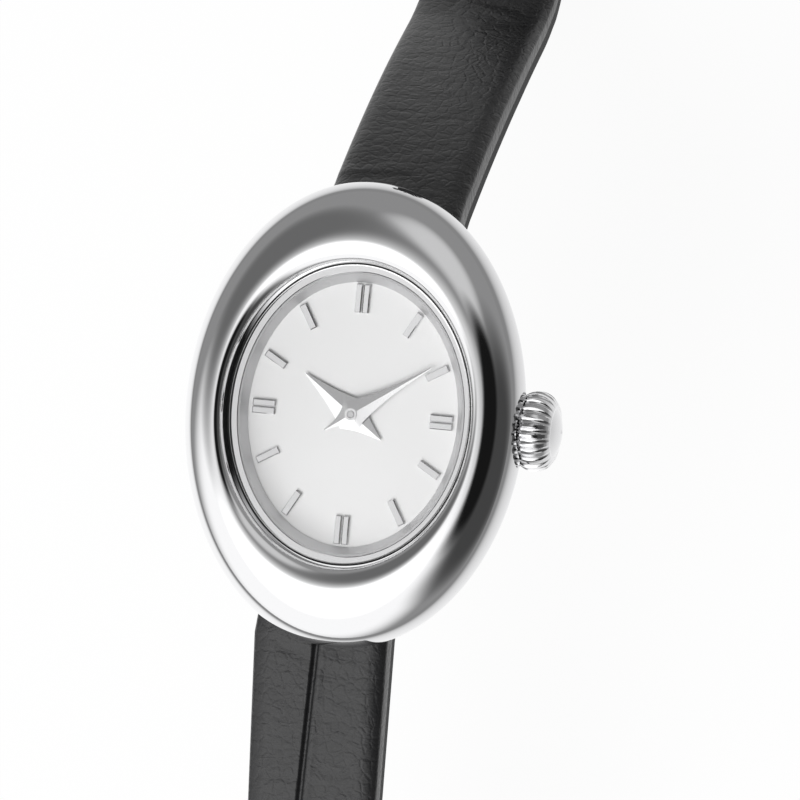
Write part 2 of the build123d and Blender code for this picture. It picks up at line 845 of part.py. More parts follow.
with BuildPart() as third_wheel:
    with BuildSketch(Plane.XY.offset(train_middle_height)):
        with Locations(third_center):
            toothed_outline(third_wheel_teeth, third_module, third_wheel_tooth)
    extrude(amount=wheel_thickness)
    with BuildSketch(Plane.XY.offset(train_middle_height)):
        with Locations(third_center):
            toothed_outline(third_pinion_teeth, center_module, third_pinion_tooth)
    extrude(amount=train_high_height + pinion_thickness - train_middle_height)
    with BuildSketch(Plane.XY.offset(arbor_start_height)):
        with Locations(third_center):
            Circle(arbor_radius)
    extrude(amount=arbor_end_height - arbor_start_height)

with BuildPart() as intermediate_wheel:
    with BuildSketch(Plane.XY.offset(train_low_height)):
        with Locations(intermediate_center):
            toothed_outline(intermediate_wheel_teeth, intermediate_module, intermediate_wheel_tooth)
    extrude(amount=wheel_thickness)
    with BuildSketch(Plane.XY.offset(train_low_height)):
        with Locations(intermediate_center):
            toothed_outline(intermediate_pinion_teeth, third_module, intermediate_pinion_tooth)
    extrude(amount=train_middle_height + pinion_thickness - train_low_height)
    with BuildSketch(Plane.XY.offset(arbor_start_height)):
        with Locations(intermediate_center):
            Circle(arbor_radius)
    extrude(amount=arbor_end_height - arbor_start_height)

with BuildPart() as rotor:
    with BuildSketch(Plane.XY.offset(train_low_height)):
        with Locations(rotor_center):
            toothed_outline(rotor_pinion_teeth, intermediate_module, rotor_pinion_tooth)
    extrude(amount=wheel_thickness)
    with BuildSketch(Plane.XY.offset(stator_height)):
        with Locations(rotor_center):
            Circle(rotor_magnet_radius)
    extrude(amount=rotor_magnet_height)
    with BuildSketch(Plane.XY.offset(arbor_start_height)):
        with Locations(rotor_center):
            Circle(arbor_radius)
    extrude(amount=arbor_end_height - arbor_start_height)

# Movement plate, bridge and holder
cannon_hole_radius = center_arbor_radius + arbor_gap
arbor_places = (third_center, intermediate_center, rotor_center)
lever_center = (lever_pivot_x, lever_pin_y)
with BuildPart() as main_plate:
    with BuildSketch(Plane.XY.offset(plate_back_height)):
        RectangleRounded(movement_width, movement_length, movement_corner)
    extrude(amount=dial_back_height - plate_back_height)
    with BuildSketch(Plane.XY.offset(plate_back_height)):
        with Locations(*screw_places):
            Circle(foot_radius)
    extrude(amount=-(plate_back_height - movement_back_height - bridge_thickness))
    # Recesses on the dial side for the motion works and the setting lever
    with BuildSketch(Plane.XY.offset(works_floor_height)):
        Circle(hour_module * (hour_wheel_teeth / 2 + 1) + lever_space)
        with Locations(minute_wheel_center):
            Circle(cannon_module * (minute_wheel_teeth / 2 + 1) + lever_space)
        with Locations(setting_wheel_center):
            Circle(cannon_module * (setting_wheel_teeth / 2 + 1) + lever_space)
    extrude(amount=works_recess_depth, mode=Mode.SUBTRACT)
    with BuildSketch(Plane.XY.offset(lever_height - lever_space)):
        with Locations((lever_pivot_x, lever_pin_y / 2)):
            Rectangle(
                2 * (movement_width / 2 - lever_pivot_x) + lever_width + crown_pull,
                lever_pin_y + 2 * lever_width,
            )
    extrude(amount=dial_back_height - lever_height + lever_space, mode=Mode.SUBTRACT)
    # Chamber of the sliding pinion and bore of the stem
    with BuildSketch(Plane.XY.offset(plate_back_height)):
        with Locations((clutch_start + clutch_length / 2, 0)):
            Rectangle(clutch_length + 2 * clutch_gap, clutch_diameter + 2 * clutch_gap)
    extrude(amount=dial_back_height - plate_back_height, mode=Mode.SUBTRACT)
    with BuildSketch(Plane.YZ.offset(clutch_start)):
        with Locations((0, crown_axis_height)):
            Circle(stem_diameter / 2 + arbor_gap)
    extrude(amount=movement_width, mode=Mode.SUBTRACT)
    # Posts of the minute wheel, the setting wheel and the setting lever
    with BuildSketch(Plane.XY.offset(plate_back_height)):
        with Locations(minute_wheel_center, setting_wheel_center, lever_center):
            Circle(wheel_post_radius)
    extrude(amount=dial_back_height - plate_back_height)
    # Holes for the arbors, the dial feet and the battery
    with BuildSketch(Plane.XY.offset(plate_back_height)):
        Circle(cannon_hole_radius)
    extrude(amount=dial_back_height - plate_back_height, mode=Mode.SUBTRACT)
    with BuildSketch(Plane.XY.offset(plate_back_height)):
        with Locations(*arbor_places):
            Circle(arbor_radius + arbor_gap)
    extrude(amount=bridge_thickness + arbor_gap, mode=Mode.SUBTRACT)
    with BuildSketch(Plane.XY.offset(dial_back_height)):
        with Locations(*dial_foot_places):
            Circle(dial_foot_diameter / 2 + arbor_gap)
    extrude(amount=-(dial_foot_length + arbor_gap), mode=Mode.SUBTRACT)
    with BuildSketch(Plane.XY.offset(plate_back_height)):
        with Locations(battery_place):
            Circle(battery_diameter / 2 + battery_gap)
    extrude(
        amount=movement_back_height + battery_thickness + battery_gap - plate_back_height,
        mode=Mode.SUBTRACT,
    )
    with BuildSketch(Plane.XY.offset(plate_back_height)):
        with Locations((0, oscillator_place)):
            Rectangle(oscillator_length + 2 * oscillator_gap, oscillator_diameter + 2 * oscillator_gap)
    extrude(
        amount=movement_back_height + board_thickness + oscillator_diameter
        + oscillator_gap - plate_back_height,
        mode=Mode.SUBTRACT,
    )
    with BuildSketch(Plane.XY.offset(movement_back_height)):
        with Locations(*screw_places):
            Circle(screw_diameter / 2)
    extrude(amount=screw_length, mode=Mode.SUBTRACT)

with BuildPart() as train_bridge:
    with BuildSketch(Plane.XY.offset(movement_back_height)):
        with Locations(*bridge_foot_places):
            Circle(foot_radius + lever_width)
        make_hull()
        with Locations(battery_place):
            Circle(battery_diameter / 2 + battery_gap, mode=Mode.SUBTRACT)
        with Locations(*bridge_foot_places):
            Circle(screw_diameter / 2, mode=Mode.SUBTRACT)
        with Locations((0, 0), *arbor_places):
            Circle(arbor_radius + arbor_gap, mode=Mode.SUBTRACT)
    extrude(amount=bridge_thickness)

with BuildPart() as movement_screws:
    with BuildSketch(Plane.XY.offset(movement_back_height)):
        with Locations(*screw_places):
            Circle(screw_head_diameter / 2)
    extrude(amount=-screw_head_height)
    with BuildSketch(Plane.XY.offset(movement_back_height)):
        with Locations(*screw_places):
            Circle(screw_diameter / 2)
    extrude(amount=screw_length)
    with BuildSketch(Plane.XY.offset(movement_back_height - screw_head_height)):
        with Locations(*screw_places):
            Rectangle(screw_head_diameter, screw_slot_width)
    extrude(amount=screw_slot_depth, mode=Mode.SUBTRACT)

with BuildPart() as movement_holder:
    with BuildSketch(Plane.XY.offset(holder_start_height)):
        RectangleRounded(
            cavity_width - 2 * holder_gap, cavity_length - 2 * holder_gap, cavity_corner - holder_gap
        )
        RectangleRounded(
            movement_width + 2 * holder_gap,
            movement_length + 2 * holder_gap,
            movement_corner + holder_gap,
            mode=Mode.SUBTRACT,
        )
    extrude(amount=dial_back_height - holder_start_height)
    with BuildSketch(Plane.YZ):
        with Locations((0, crown_axis_height)):
            Circle(tube_bore_diameter / 2)
    extrude(amount=cavity_width, mode=Mode.SUBTRACT)

# Electrical pieces
with BuildPart() as battery:
    with BuildSketch(Plane.XY.offset(movement_back_height)):
        with Locations(battery_place):
            Circle(battery_diameter / 2)
    extrude(amount=battery_thickness)
    chamfer(battery.faces().sort_by(Axis.Z)[0].edges(), length=battery_edge)

with BuildPart() as battery_clamp:
    with BuildSketch(Plane.XY.offset(movement_back_height)):
        with Locations(clamp_screw_place, clamp_tip_place):
            Circle(clamp_width / 2)
        make_hull()
        with Locations(clamp_screw_place):
            Circle(screw_head_diameter / 2, mode=Mode.SUBTRACT)
    extrude(amount=-clamp_thickness)
    with BuildSketch(Plane.XY.offset(movement_back_height)):
        with Locations(clamp_screw_place):
            Circle(foot_radius)
            Circle(screw_diameter / 2, mode=Mode.SUBTRACT)
    extrude(amount=bridge_thickness)

stator_arm_x = coil_place - coil_diameter / 2 - coil_core_width / 2
stator_left = rotor_center[0] - stator_bore_radius - coil_core_width / 4
stator_half = stator_bore_radius + coil_core_width / 4
with BuildPart() as stator:
    with BuildSketch(Plane.XY.offset(stator_height)):
        with BuildLine():
            Polyline(
                (stator_left, rotor_center[1] - stator_half),
                (stator_left, rotor_center[1] + stator_half),
                (stator_arm_x - coil_core_width, rotor_center[1] + stator_half),
                (stator_arm_x - coil_core_width, coil_end + coil_core_overlap),
                (coil_place + coil_core_width / 2, coil_end + coil_core_overlap),
                (coil_place + coil_core_width / 2, coil_end),
                (stator_arm_x, coil_end),
                (stator_arm_x, coil_start),
                (coil_place + coil_core_width / 2, coil_start),
                (coil_place + coil_core_width / 2, coil_start - coil_core_overlap),
                (stator_arm_x - coil_core_width, coil_start - coil_core_overlap),
                (stator_arm_x - coil_core_width, rotor_center[1] - stator_half),
                close=True,
            )
        make_face()
        with Locations(rotor_center):
            Circle(stator_bore_radius, mode=Mode.SUBTRACT)
    extrude(amount=stator_thickness)

coil_axis_height = stator_height - coil_core_thickness / 2
with BuildPart() as coil_core:
    with BuildSketch(Plane.XY.offset(stator_height)):
        with Locations((coil_place, (coil_start + coil_end) / 2)):
            Rectangle(coil_core_width, coil_end - coil_start + 2 * coil_core_overlap)
    extrude(amount=-coil_core_thickness)

with BuildPart() as coil_winding:
    with BuildSketch(Plane.XZ.offset(-coil_end)):
        with Locations((coil_place, coil_axis_height)):
            Circle(coil_diameter / 2)
            Rectangle(coil_core_width, coil_core_thickness, mode=Mode.SUBTRACT)
    extrude(amount=coil_end - coil_start)

with BuildPart() as circuit_board:
    with BuildSketch(Plane.XY.offset(movement_back_height)):
        with Locations((0, board_middle)):
            RectangleRounded(board_width, board_length, board_corner)
        with Locations(*board_foot_places):
            Circle(screw_diameter / 2, mode=Mode.SUBTRACT)
    extrude(amount=board_thickness)
    with BuildSketch(Plane.XY.offset(movement_back_height + board_thickness)):
        with Locations(*board_foot_places):
            Circle(foot_radius)
            Circle(screw_diameter / 2, mode=Mode.SUBTRACT)
    extrude(amount=bridge_thickness - board_thickness)

with BuildPart() as oscillator_can:
    with BuildSketch(Plane.YZ.offset(-oscillator_length / 2)):
        with Locations(
            (oscillator_place, movement_back_height + board_thickness + oscillator_diameter / 2)
        ):
            Circle(oscillator_diameter / 2)
    extrude(amount=oscillator_length)

with BuildPart() as control_chip:
    with BuildSketch(Plane.XY.offset(movement_back_height + board_thickness)):
        with Locations(chip_place):
            Rectangle(chip_size, chip_size)
    extrude(amount=chip_height)

# Spring bars in the hidden lugs
with BuildPart() as upper_spring_bar:
    with BuildSketch(Plane.YZ):
        with Locations((bar_distance, bar_height)):
            Circle(bar_diameter / 2)
    extrude(amount=lug_gap / 2 - bar_side_gap, both=True)
    with BuildSketch(Plane.YZ):
        with Locations((bar_distance, bar_height)):
            Circle(bar_pin_diameter / 2)
    extrude(amount=lug_gap / 2 + bar_pin_reach, both=True)

with BuildPart() as lower_spring_bar:
    add(upper_spring_bar.part.mirror(Plane.XZ))

# Crown group, turned about the stem's axis
crown_plane = Plane((0, 0, crown_axis_height), x_dir=(1, 0, 0), z_dir=(0, -1, 0))
crown_axis = Axis((0, 0, crown_axis_height), (1, 0, 0))
cap_radius = crown_cap_diameter / 2
bore_radius = crown_bore_diameter / 2


def draw_flutes(place):
    """Draw the crown's fluted outline at a place along its axis, in the current line.

    Past the belly the flutes grow shallow and narrow until they fade out.
    """
    radius = crown_bulge_center + (crown_bulge_radius**2 - (place - crown_belly_place) ** 2) ** 0.5
    past_share = max(0, (place - crown_belly_place) / crown_bulge_run)
    depth = flute_depth * (1 - (1 - flute_end_depth_share) * past_share**2)
    half_turn = degrees(flute_width / crown_diameter) * (1 - (1 - flute_end_width_share) * past_share)
    pitch = 360 / crown_flutes
    for count in range(crown_flutes):
        middle = pitch * count
        ThreePointArc(
            crown_point(radius, middle - half_turn),
            crown_point(radius - depth, middle),
            crown_point(radius, middle + half_turn),
        )
        ThreePointArc(
            crown_point(radius, middle + half_turn),
            crown_point(radius, middle + pitch / 2),
            crown_point(radius, middle + pitch - half_turn),
        )


def crown_point(distance, direction):
    """Return the Y and Z of a point at a distance and direction from the stem's axis."""
    along, up = polar(distance, direction)
    return along, crown_axis_height + up


with BuildPart() as crown:
    for station_share in crown_station_shares:
        station = crown_inner_place + station_share * (crown_outer_place - crown_inner_place)
        with BuildSketch(Plane.YZ.offset(station)):
            with BuildLine():
                draw_flutes(station)
            make_face()
    loft()
    for start, depth, radius in (
        (crown_outer_place, crown_cap_seat, cap_radius),
        (crown_bore_end, crown_bore_end - crown_inner_place, bore_radius),
        (o_ring_place + o_ring_width, o_ring_width, bore_radius + o_ring_groove),
    ):
        with BuildSketch(Plane.YZ.offset(start)):
            with Locations((0, crown_axis_height)):
                Circle(radius)
        extrude(amount=-depth, mode=Mode.SUBTRACT)
    with BuildSketch(Plane.YZ.offset(crown_bore_end)):
        with Locations((0, crown_axis_height)):
            Circle(stem_diameter / 2)
    extrude(amount=stem_thread_length, mode=Mode.SUBTRACT)

with BuildPart() as crown_cap:
    with BuildSketch(crown_plane):
        with BuildLine():
            Polyline(
                (crown_outer_place, cap_radius),
                (crown_outer_place - crown_cap_seat, cap_radius),
                (crown_outer_place - crown_cap_seat, 0),
                (crown_outer_place + crown_cap_rise, 0),
            )
            TangentArc(
                (crown_outer_place + crown_cap_rise, 0), (crown_outer_place, cap_radius), tangent=(0, 1)
            )
        make_face()
    revolve(axis=crown_axis)

with BuildPart() as crown_gasket:
    with BuildSketch(Plane.YZ.offset(o_ring_place)):
        with Locations((0, crown_axis_height)):
            Circle(bore_radius + o_ring_groove)
            Circle(tube_diameter / 2 + o_ring_gap, mode=Mode.SUBTRACT)
    extrude(amount=o_ring_width)

with BuildPart() as crown_tube:
    with BuildSketch(Plane.YZ.offset(cavity_width / 2)):
        with Locations((0, crown_axis_height)):
            Circle(tube_diameter / 2)
            Circle(tube_bore_diameter / 2, mode=Mode.SUBTRACT)
    extrude(amount=tube_end - cavity_width / 2)

with BuildPart() as stem:
    with BuildSketch(Plane.YZ.offset(stem_inner_end)):
        with Locations((0, crown_axis_height)):
            Circle(stem_diameter / 2)
    extrude(amount=crown_bore_end + stem_thread_length - stem_inner_end)
    with BuildSketch(Plane.YZ.offset(stem_groove_place - stem_groove_width / 2)):
        with Locations((0, crown_axis_height)):
            Circle(stem_diameter / 2)
            Circle(stem_groove_diameter / 2, mode=Mode.SUBTRACT)
    extrude(amount=stem_groove_width, mode=Mode.SUBTRACT)

with BuildPart() as sliding_pinion:
    with BuildSketch(Plane.YZ.offset(clutch_start)):
        with Locations((0, crown_axis_height)):
            Circle(clutch_diameter / 2)
            Circle(clutch_bore_diameter / 2, mode=Mode.SUBTRACT)
    extrude(amount=clutch_length)
    with BuildSketch(Plane.YZ.offset(clutch_start + (clutch_length - clutch_groove_width) / 2)):
        with Locations((0, crown_axis_height)):
            Circle(clutch_diameter / 2)
            Circle(clutch_groove_diameter / 2, mode=Mode.SUBTRACT)
    extrude(amount=clutch_groove_width, mode=Mode.SUBTRACT)
    # Face teeth towards the setting wheel
    with BuildSketch(Plane.YZ.offset(clutch_start)):
        with Locations((0, crown_axis_height)):
            with PolarLocations(clutch_diameter / 2, clutch_teeth):
                Rectangle(clutch_diameter / 2, clutch_tooth_width)
    extrude(amount=clutch_tooth_depth, mode=Mode.SUBTRACT)

with BuildPart() as setting_lever:
    with BuildSketch(Plane.XY.offset(lever_height)):
        with Locations((stem_groove_place, 0), lever_center):
            Circle(lever_width / 2)
        make_hull()
    extrude(amount=lever_thickness)
    with BuildSketch(Plane.XY.offset(lever_height)):
        with Locations((stem_groove_place, 0)):
            Circle(lever_pin_radius)
    extrude(amount=-(lever_height - crown_axis_height - stem_groove_diameter / 2 - lever_pin_gap))
    with BuildSketch(Plane.XY.offset(lever_height)):
        with Locations(lever_center):
            Circle(lever_pivot_radius + arbor_gap)
    extrude(amount=lever_thickness, mode=Mode.SUBTRACT)

# Strap halves: an outer leather that loops round its bars, and a lining, cut to one plan
upper_thickness = lining_thickness + top_thickness_at_end
buckle_y = bar_distance + upper_run
buckle_z = upper_bottom_height + upper_thickness / 2
lower_tip = bar_distance + lower_run
lower_shoulder = lower_tip - lower_point_length
hole_distances = [lower_length - last_hole_to_tip - hole_spacing * count for count in range(hole_count)]

with BuildSketch(Plane.XY.offset(floor_height)) as upper_plan:
    Polygon(
        *plan_points(
            1,
            upper_shift,
            (
                (bar_distance - strap_loop_radius, strap_width / 2),
                (upper_taper_start, strap_width / 2),
                (buckle_y + buckle_loop_radius, strap_tip_width / 2),
            ),
        ),
        align=None,
    )
    with Locations((upper_shift, buckle_y)):
        Rectangle(tongue_slot_width, 2 * tongue_slot_length, mode=Mode.SUBTRACT)

with BuildSketch(Plane.XY.offset(floor_height)) as lower_plan:
    Polygon(
        *plan_points(
            -1,
            lower_shift,
            (
                (bar_distance - strap_loop_radius, lower_width / 2),
                (lower_taper_middle, lower_taper_middle_width / 2),
                (lower_shoulder, strap_tip_width / 2),
                (lower_tip, lower_point_width / 2),
            ),
        ),
        align=None,
    )
    plan_corners = lower_plan.vertices().group_by(Axis.Y)
    fillet(plan_corners[1], radius=lower_shoulder_radius)
    fillet(lower_plan.vertices().group_by(Axis.Y)[0], radius=lower_point_radius)


def leather_layer(side, path, first_dip, outer_at, inner_at, plan, loops, eyes):
    """Return one layer of a strap half: its section drawn across and cut to the plan.

    Loops are added round the bars and eyes are cut out, each from a place and a radius.
    """
    with BuildPart() as layer:
        with BuildSketch(Plane.YZ):
            with BuildLine():
                outer = Spline(*face_points(side, path, first_dip, outer_at))
                inner = Spline(*face_points(side, path, first_dip, inner_at))
                Line(outer @ 0, inner @ 0)
                Line(outer @ 1, inner @ 1)
            make_face()
            for place, radius in loops:
                with Locations(place):
                    Circle(radius)
            for place, radius in eyes:
                with Locations(place):
                    Circle(radius, mode=Mode.SUBTRACT)
        extrude(amount=case_width / 2, both=True)
        extrude(plan.sketch, amount=case_height - floor_height, mode=Mode.INTERSECT)
    return layer.part


with BuildPart() as upper_strap_top:
    add(
        leather_layer(
            1,
            upper_path,
            upper_dip_angle,
            top_offset_at,
            seam_offset_at,
            upper_plan,
            loops=(
                ((bar_distance, bar_height), strap_loop_radius),
                ((buckle_y, buckle_z), buckle_loop_radius),
            ),
            eyes=(
                ((bar_distance, bar_height), strap_loop_bore_radius),
                ((buckle_y, buckle_z), buckle_bar_diameter / 2 + buckle_bar_gap),
            ),
        )
    )

with BuildPart() as upper_strap_lining:
    add(
        leather_layer(
            1,
            upper_path,
            upper_dip_angle,
            seam_offset_at,
            inner_offset_at,
            upper_plan,
            loops=(),
            eyes=(
                ((bar_distance, bar_height), strap_loop_radius + lining_gap),
                ((buckle_y, buckle_z), buckle_loop_radius + lining_gap),
            ),
        )
    )

with BuildPart() as lower_strap_top:
    add(
        leather_layer(
            -1,
            lower_path,
            lower_dip_angle,
            top_offset_at,
            seam_offset_at,
            lower_plan,
            loops=(((-bar_distance, bar_height), strap_loop_radius),),
            eyes=(((-bar_distance, bar_height), strap_loop_bore_radius),),
        )
    )
    for distance in hole_distances:
        with BuildSketch(hole_plane(distance)):
            Circle(hole_diameter / 2)
    extrude(amount=upper_thickness, both=True, mode=Mode.SUBTRACT)

with BuildPart() as lower_strap_lining:
    add(
        leather_layer(
            -1,
            lower_path,
            lower_dip_angle,
            seam_offset_at,
            inner_offset_at,
            lower_plan,
            loops=(),
            eyes=(((-bar_distance, bar_height), strap_loop_radius + lining_gap),),
        )
    )
    for distance in hole_distances:
        with BuildSketch(hole_plane(distance)):
            Circle(hole_diameter / 2)
    extrude(amount=2 * upper_thickness, both=True, mode=Mode.SUBTRACT)

# Keepers round the upper half's flat end
fixed_keeper_y = buckle_y - fixed_keeper_to_buckle
keeper_inner_height = upper_thickness + keeper_top_gap + keeper_under_gap
keeper_middle_height = floor_height + keeper_wall + keeper_inner_height / 2
with BuildPart() as fixed_keeper:
    with BuildSketch(Plane.XZ.offset(-fixed_keeper_y - keeper_length / 2)):
        with Locations((upper_shift, keeper_middle_height)):
            RectangleRounded(
                strap_width + 2 * (keeper_side_gap + keeper_wall),
                keeper_inner_height + 2 * keeper_wall,
                keeper_corner + keeper_wall,
            )
            RectangleRounded(
                strap_width + 2 * keeper_side_gap,
                keeper_inner_height,
                keeper_corner,
                mode=Mode.SUBTRACT,
            )
    extrude(amount=keeper_length)

with BuildPart() as sliding_keeper:
    with Locations((0, fixed_keeper_to_buckle - sliding_keeper_to_buckle, 0)):
        add(fixed_keeper.part)

# Buckle at the upper half's end
frame_half = buckle_thickness / 2
frame_start = buckle_y - buckle_back_overhang
frame_end = buckle_y + buckle_length
with BuildPart() as buckle_frame:
    with BuildSketch(Plane.XY.offset(buckle_z - frame_half)) as frame_outline:
        with Locations((upper_shift, (frame_start + frame_end) / 2)):
            Rectangle(buckle_width, frame_end - frame_start)
        front_corners = frame_outline.vertices().group_by(Axis.Y)[-1]
        fillet(front_corners, radius=buckle_corner)
        with Locations((upper_shift, frame_start)):
            Rectangle(
                buckle_inner_width,
                2 * (frame_end - frame_start - buckle_front_width),
                mode=Mode.SUBTRACT,
            )
    extrude(amount=buckle_thickness)
    frame_edges = buckle_frame.faces().sort_by(Axis.Z)
    chamfer(frame_edges[0].edges() + frame_edges[-1].edges(), length=buckle_edge)
    # Seat of the tongue on the front bar, and holes of the buckle bar
    with BuildSketch(Plane.XY.offset(buckle_z + frame_half - tongue_seat_depth)):
        with Locations((upper_shift, frame_end)):
            Rectangle(tongue_width + 2 * tongue_gap, 4 * buckle_front_width)
    extrude(amount=tongue_seat_depth, mode=Mode.SUBTRACT)
    with BuildSketch(Plane.YZ):
        with Locations((buckle_y, buckle_z)):
            Circle(buckle_bar_diameter / 2)
    extrude(amount=buckle_width + upper_shift, both=True, mode=Mode.SUBTRACT)

with BuildPart() as buckle_bar:
    with BuildSketch(Plane.YZ.offset(upper_shift)):
        with Locations((buckle_y, buckle_z)):
            Circle(buckle_bar_diameter / 2)
    extrude(amount=buckle_width / 2, both=True)

tongue_seat_height = frame_half - tongue_seat_depth + tongue_gap
with BuildPart() as buckle_tongue:
    with BuildSketch(Plane.YZ.offset(upper_shift)):
        with Locations((buckle_y, buckle_z)):
            Circle(tongue_eye_radius)
        with BuildLine():
            Polyline(
                (buckle_y, buckle_z + tongue_eye_radius),
                (frame_end + tongue_overhang, buckle_z + tongue_seat_height + tongue_thickness),
                (frame_end + tongue_overhang, buckle_z + tongue_seat_height),
                (frame_end - 2 * buckle_front_width, buckle_z + tongue_seat_height),
                (buckle_y, buckle_z),
                close=True,
            )
        make_face()
        with Locations((buckle_y, buckle_z)):
            Circle(buckle_bar_diameter / 2 + buckle_bar_gap, mode=Mode.SUBTRACT)
    extrude(amount=tongue_width / 2, both=True)

# Write each piece under its own name
pieces = {
    "case_middle": case_middle,
    "case_back": case_back,
    "case_back_gasket": case_back_gasket,
    "crystal": crystal,
    "crystal_gasket": crystal_gasket,
    "rehaut_ring": rehaut_ring,
    "dial": dial,
    "double_batons": double_batons,
    "single_batons": single_batons,
    "minute_hand": minute_hand,
    "hour_hand": hour_hand,
    "cannon_pinion": cannon_pinion,
    "hour_wheel": hour_wheel,
    "minute_wheel": minute_wheel,
    "setting_wheel": setting_wheel,
    "center_wheel": center_wheel,
    "third_wheel": third_wheel,
    "intermediate_wheel": intermediate_wheel,
    "rotor": rotor,
    "main_plate": main_plate,
    "train_bridge": train_bridge,
    "movement_screws": movement_screws,
    "movement_holder": movement_holder,
    "battery": battery,
    "battery_clamp": battery_clamp,
    "stator": stator,
    "coil_core": coil_core,
    "coil_winding": coil_winding,
    "circuit_board": circuit_board,
    "oscillator_can": oscillator_can,
    "control_chip": control_chip,
    "upper_spring_bar": upper_spring_bar,
    "lower_spring_bar": lower_spring_bar,
    "crown": crown,
    "crown_cap": crown_cap,
    "crown_gasket": crown_gasket,
    "crown_tube": crown_tube,
    "stem": stem,
    "sliding_pinion": sliding_pinion,
    "setting_lever": setting_lever,
    "upper_strap_top": upper_strap_top,
    "upper_strap_lining": upper_strap_lining,
    "lower_strap_top": lower_strap_top,
    "lower_strap_lining": lower_strap_lining,
    "fixed_keeper": fixed_keeper,
    "sliding_keeper": sliding_keeper,
    "buckle_frame": buckle_frame,
    "buckle_bar": buckle_bar,
    "buckle_tongue": buckle_tongue,
}
os.makedirs("parts", exist_ok=True)
for name, piece in pieces.items():
    piece.part.label = name
    export_step(piece.part, f"parts/{name}.step")

print("setting lever swing", round(lever_swing, 3), "degrees about", lever_center)
print("minute wheel", minute_wheel_center, "third wheel", third_center)
print("intermediate wheel", intermediate_center, "rotor", rotor_center)
print("floor", round(floor_height, 3), "upper flat", round(upper_flat_height, 3))
print("buckle bar", round(buckle_y, 3), round(buckle_z, 3), "fixed keeper", round(fixed_keeper_y, 3))
print("lower tip", round(lower_tip, 3), "lower length", round(lower_length, 2))
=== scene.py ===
"""Studio scene of an oval wristwatch on a leather strap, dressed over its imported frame."""

import logging
import math
from collections.abc import Callable, Sequence
from dataclasses import dataclass
from enum import Enum

import bpy
from bpy.types import Material, Mesh, Node, NodeSocket, NodeTree, Object
from mathutils import Matrix, Vector


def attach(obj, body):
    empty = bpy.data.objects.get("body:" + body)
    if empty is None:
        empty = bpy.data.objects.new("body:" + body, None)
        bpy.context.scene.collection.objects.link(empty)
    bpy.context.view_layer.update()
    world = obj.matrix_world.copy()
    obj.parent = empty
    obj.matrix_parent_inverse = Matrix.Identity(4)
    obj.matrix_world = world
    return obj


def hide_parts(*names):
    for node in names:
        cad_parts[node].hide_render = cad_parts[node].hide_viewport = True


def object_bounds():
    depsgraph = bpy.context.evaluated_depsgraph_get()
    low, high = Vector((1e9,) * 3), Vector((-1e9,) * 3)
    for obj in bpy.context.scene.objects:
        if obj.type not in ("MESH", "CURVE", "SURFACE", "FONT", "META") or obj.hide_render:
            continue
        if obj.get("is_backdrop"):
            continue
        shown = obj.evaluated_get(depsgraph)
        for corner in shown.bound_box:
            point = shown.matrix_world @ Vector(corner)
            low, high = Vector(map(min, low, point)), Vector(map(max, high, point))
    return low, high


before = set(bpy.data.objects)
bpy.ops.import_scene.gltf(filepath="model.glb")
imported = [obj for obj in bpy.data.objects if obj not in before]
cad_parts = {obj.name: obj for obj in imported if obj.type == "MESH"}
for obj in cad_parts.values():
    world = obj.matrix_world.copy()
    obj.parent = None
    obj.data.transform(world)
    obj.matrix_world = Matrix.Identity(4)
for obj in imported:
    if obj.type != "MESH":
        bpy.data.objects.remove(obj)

MM = 0.001
log = logging.getLogger("watch")

Pair = tuple[float, float]


def linear(color: str) -> tuple[float, float, float, float]:
    """Turn an sRGB hex colour into linear light.

    Args:
        color: the colour as "#rrggbb".

    Returns:
        Red, green, blue and an alpha of 1.
    """
    shares = [int(color[place : place + 2], 16) / 255 for place in (1, 3, 5)]
    lights = [s / 12.92 if s <= 0.04045 else ((s + 0.055) / 1.055) ** 2.4 for s in shares]
    return (lights[0], lights[1], lights[2], 1.0)


def add_node(tree: NodeTree, kind: str, inputs: dict | None = None, **settings: object) -> Node:
    """Add a shader node to a tree.

    Args:
        tree: the tree that gets the node.
        kind: the node's type, without its ShaderNode prefix.
        inputs: a value, or the node or socket that feeds it, by the input's name or number.
        settings: the node's own properties.

    Returns:
        The new node.
    """
    node = tree.nodes.new(f"ShaderNode{kind}")
    for name, value in settings.items():
        setattr(node, name, value)
    for socket, value in (inputs or {}).items():
        if isinstance(value, Node):
            value = next(each for each in value.outputs if each.enabled)
        if isinstance(value, NodeSocket):
            tree.links.new(value, node.inputs[socket])
        else:
            node.inputs[socket].default_value = value
    return node


def new_material(name: str) -> tuple[Material, NodeTree]:
    """Make an empty node material.

    Args:
        name: the material's name.

    Returns:
        The material and its tree.
    """
    material = bpy.data.materials.new(name)
    material.use_nodes = True
    material.node_tree.nodes.clear()
    return material, material.node_tree


def millimetres(tree: NodeTree, density: Sequence[float]) -> Node:
    """Give object coordinates counted in millimetres.

    Args:
        tree: the material's tree.
        density: how many times denser than a millimetre the pattern is along X, Y and Z.

    Returns:
        The node that gives the coordinates.
    """
    place = add_node(tree, "TexCoord").outputs["Object"]
    return add_node(tree, "Mapping", {"Vector": place, "Scale": [each / MM for each in density]})


def noise(
    tree: NodeTree,
    place: Node,
    scale: float = 1.0,
    detail: float = 4.0,
    roughness: float = 0.6,
    distortion: float = 0.0,
) -> Node:
    """Add a noise pattern.

    Args:
        tree: the material's tree.
        place: the node that gives its coordinates.
        scale: how dense it is.
        detail: how many finer patterns it holds.
        roughness: how strong the finer patterns are.
        distortion: how far it is warped.

    Returns:
        The pattern's node.
    """
    inputs = {"Vector": place, "Scale": scale, "Detail": detail}
    return add_node(
        tree, "TexNoise", {**inputs, "Roughness": roughness, "Distortion": distortion}
    )


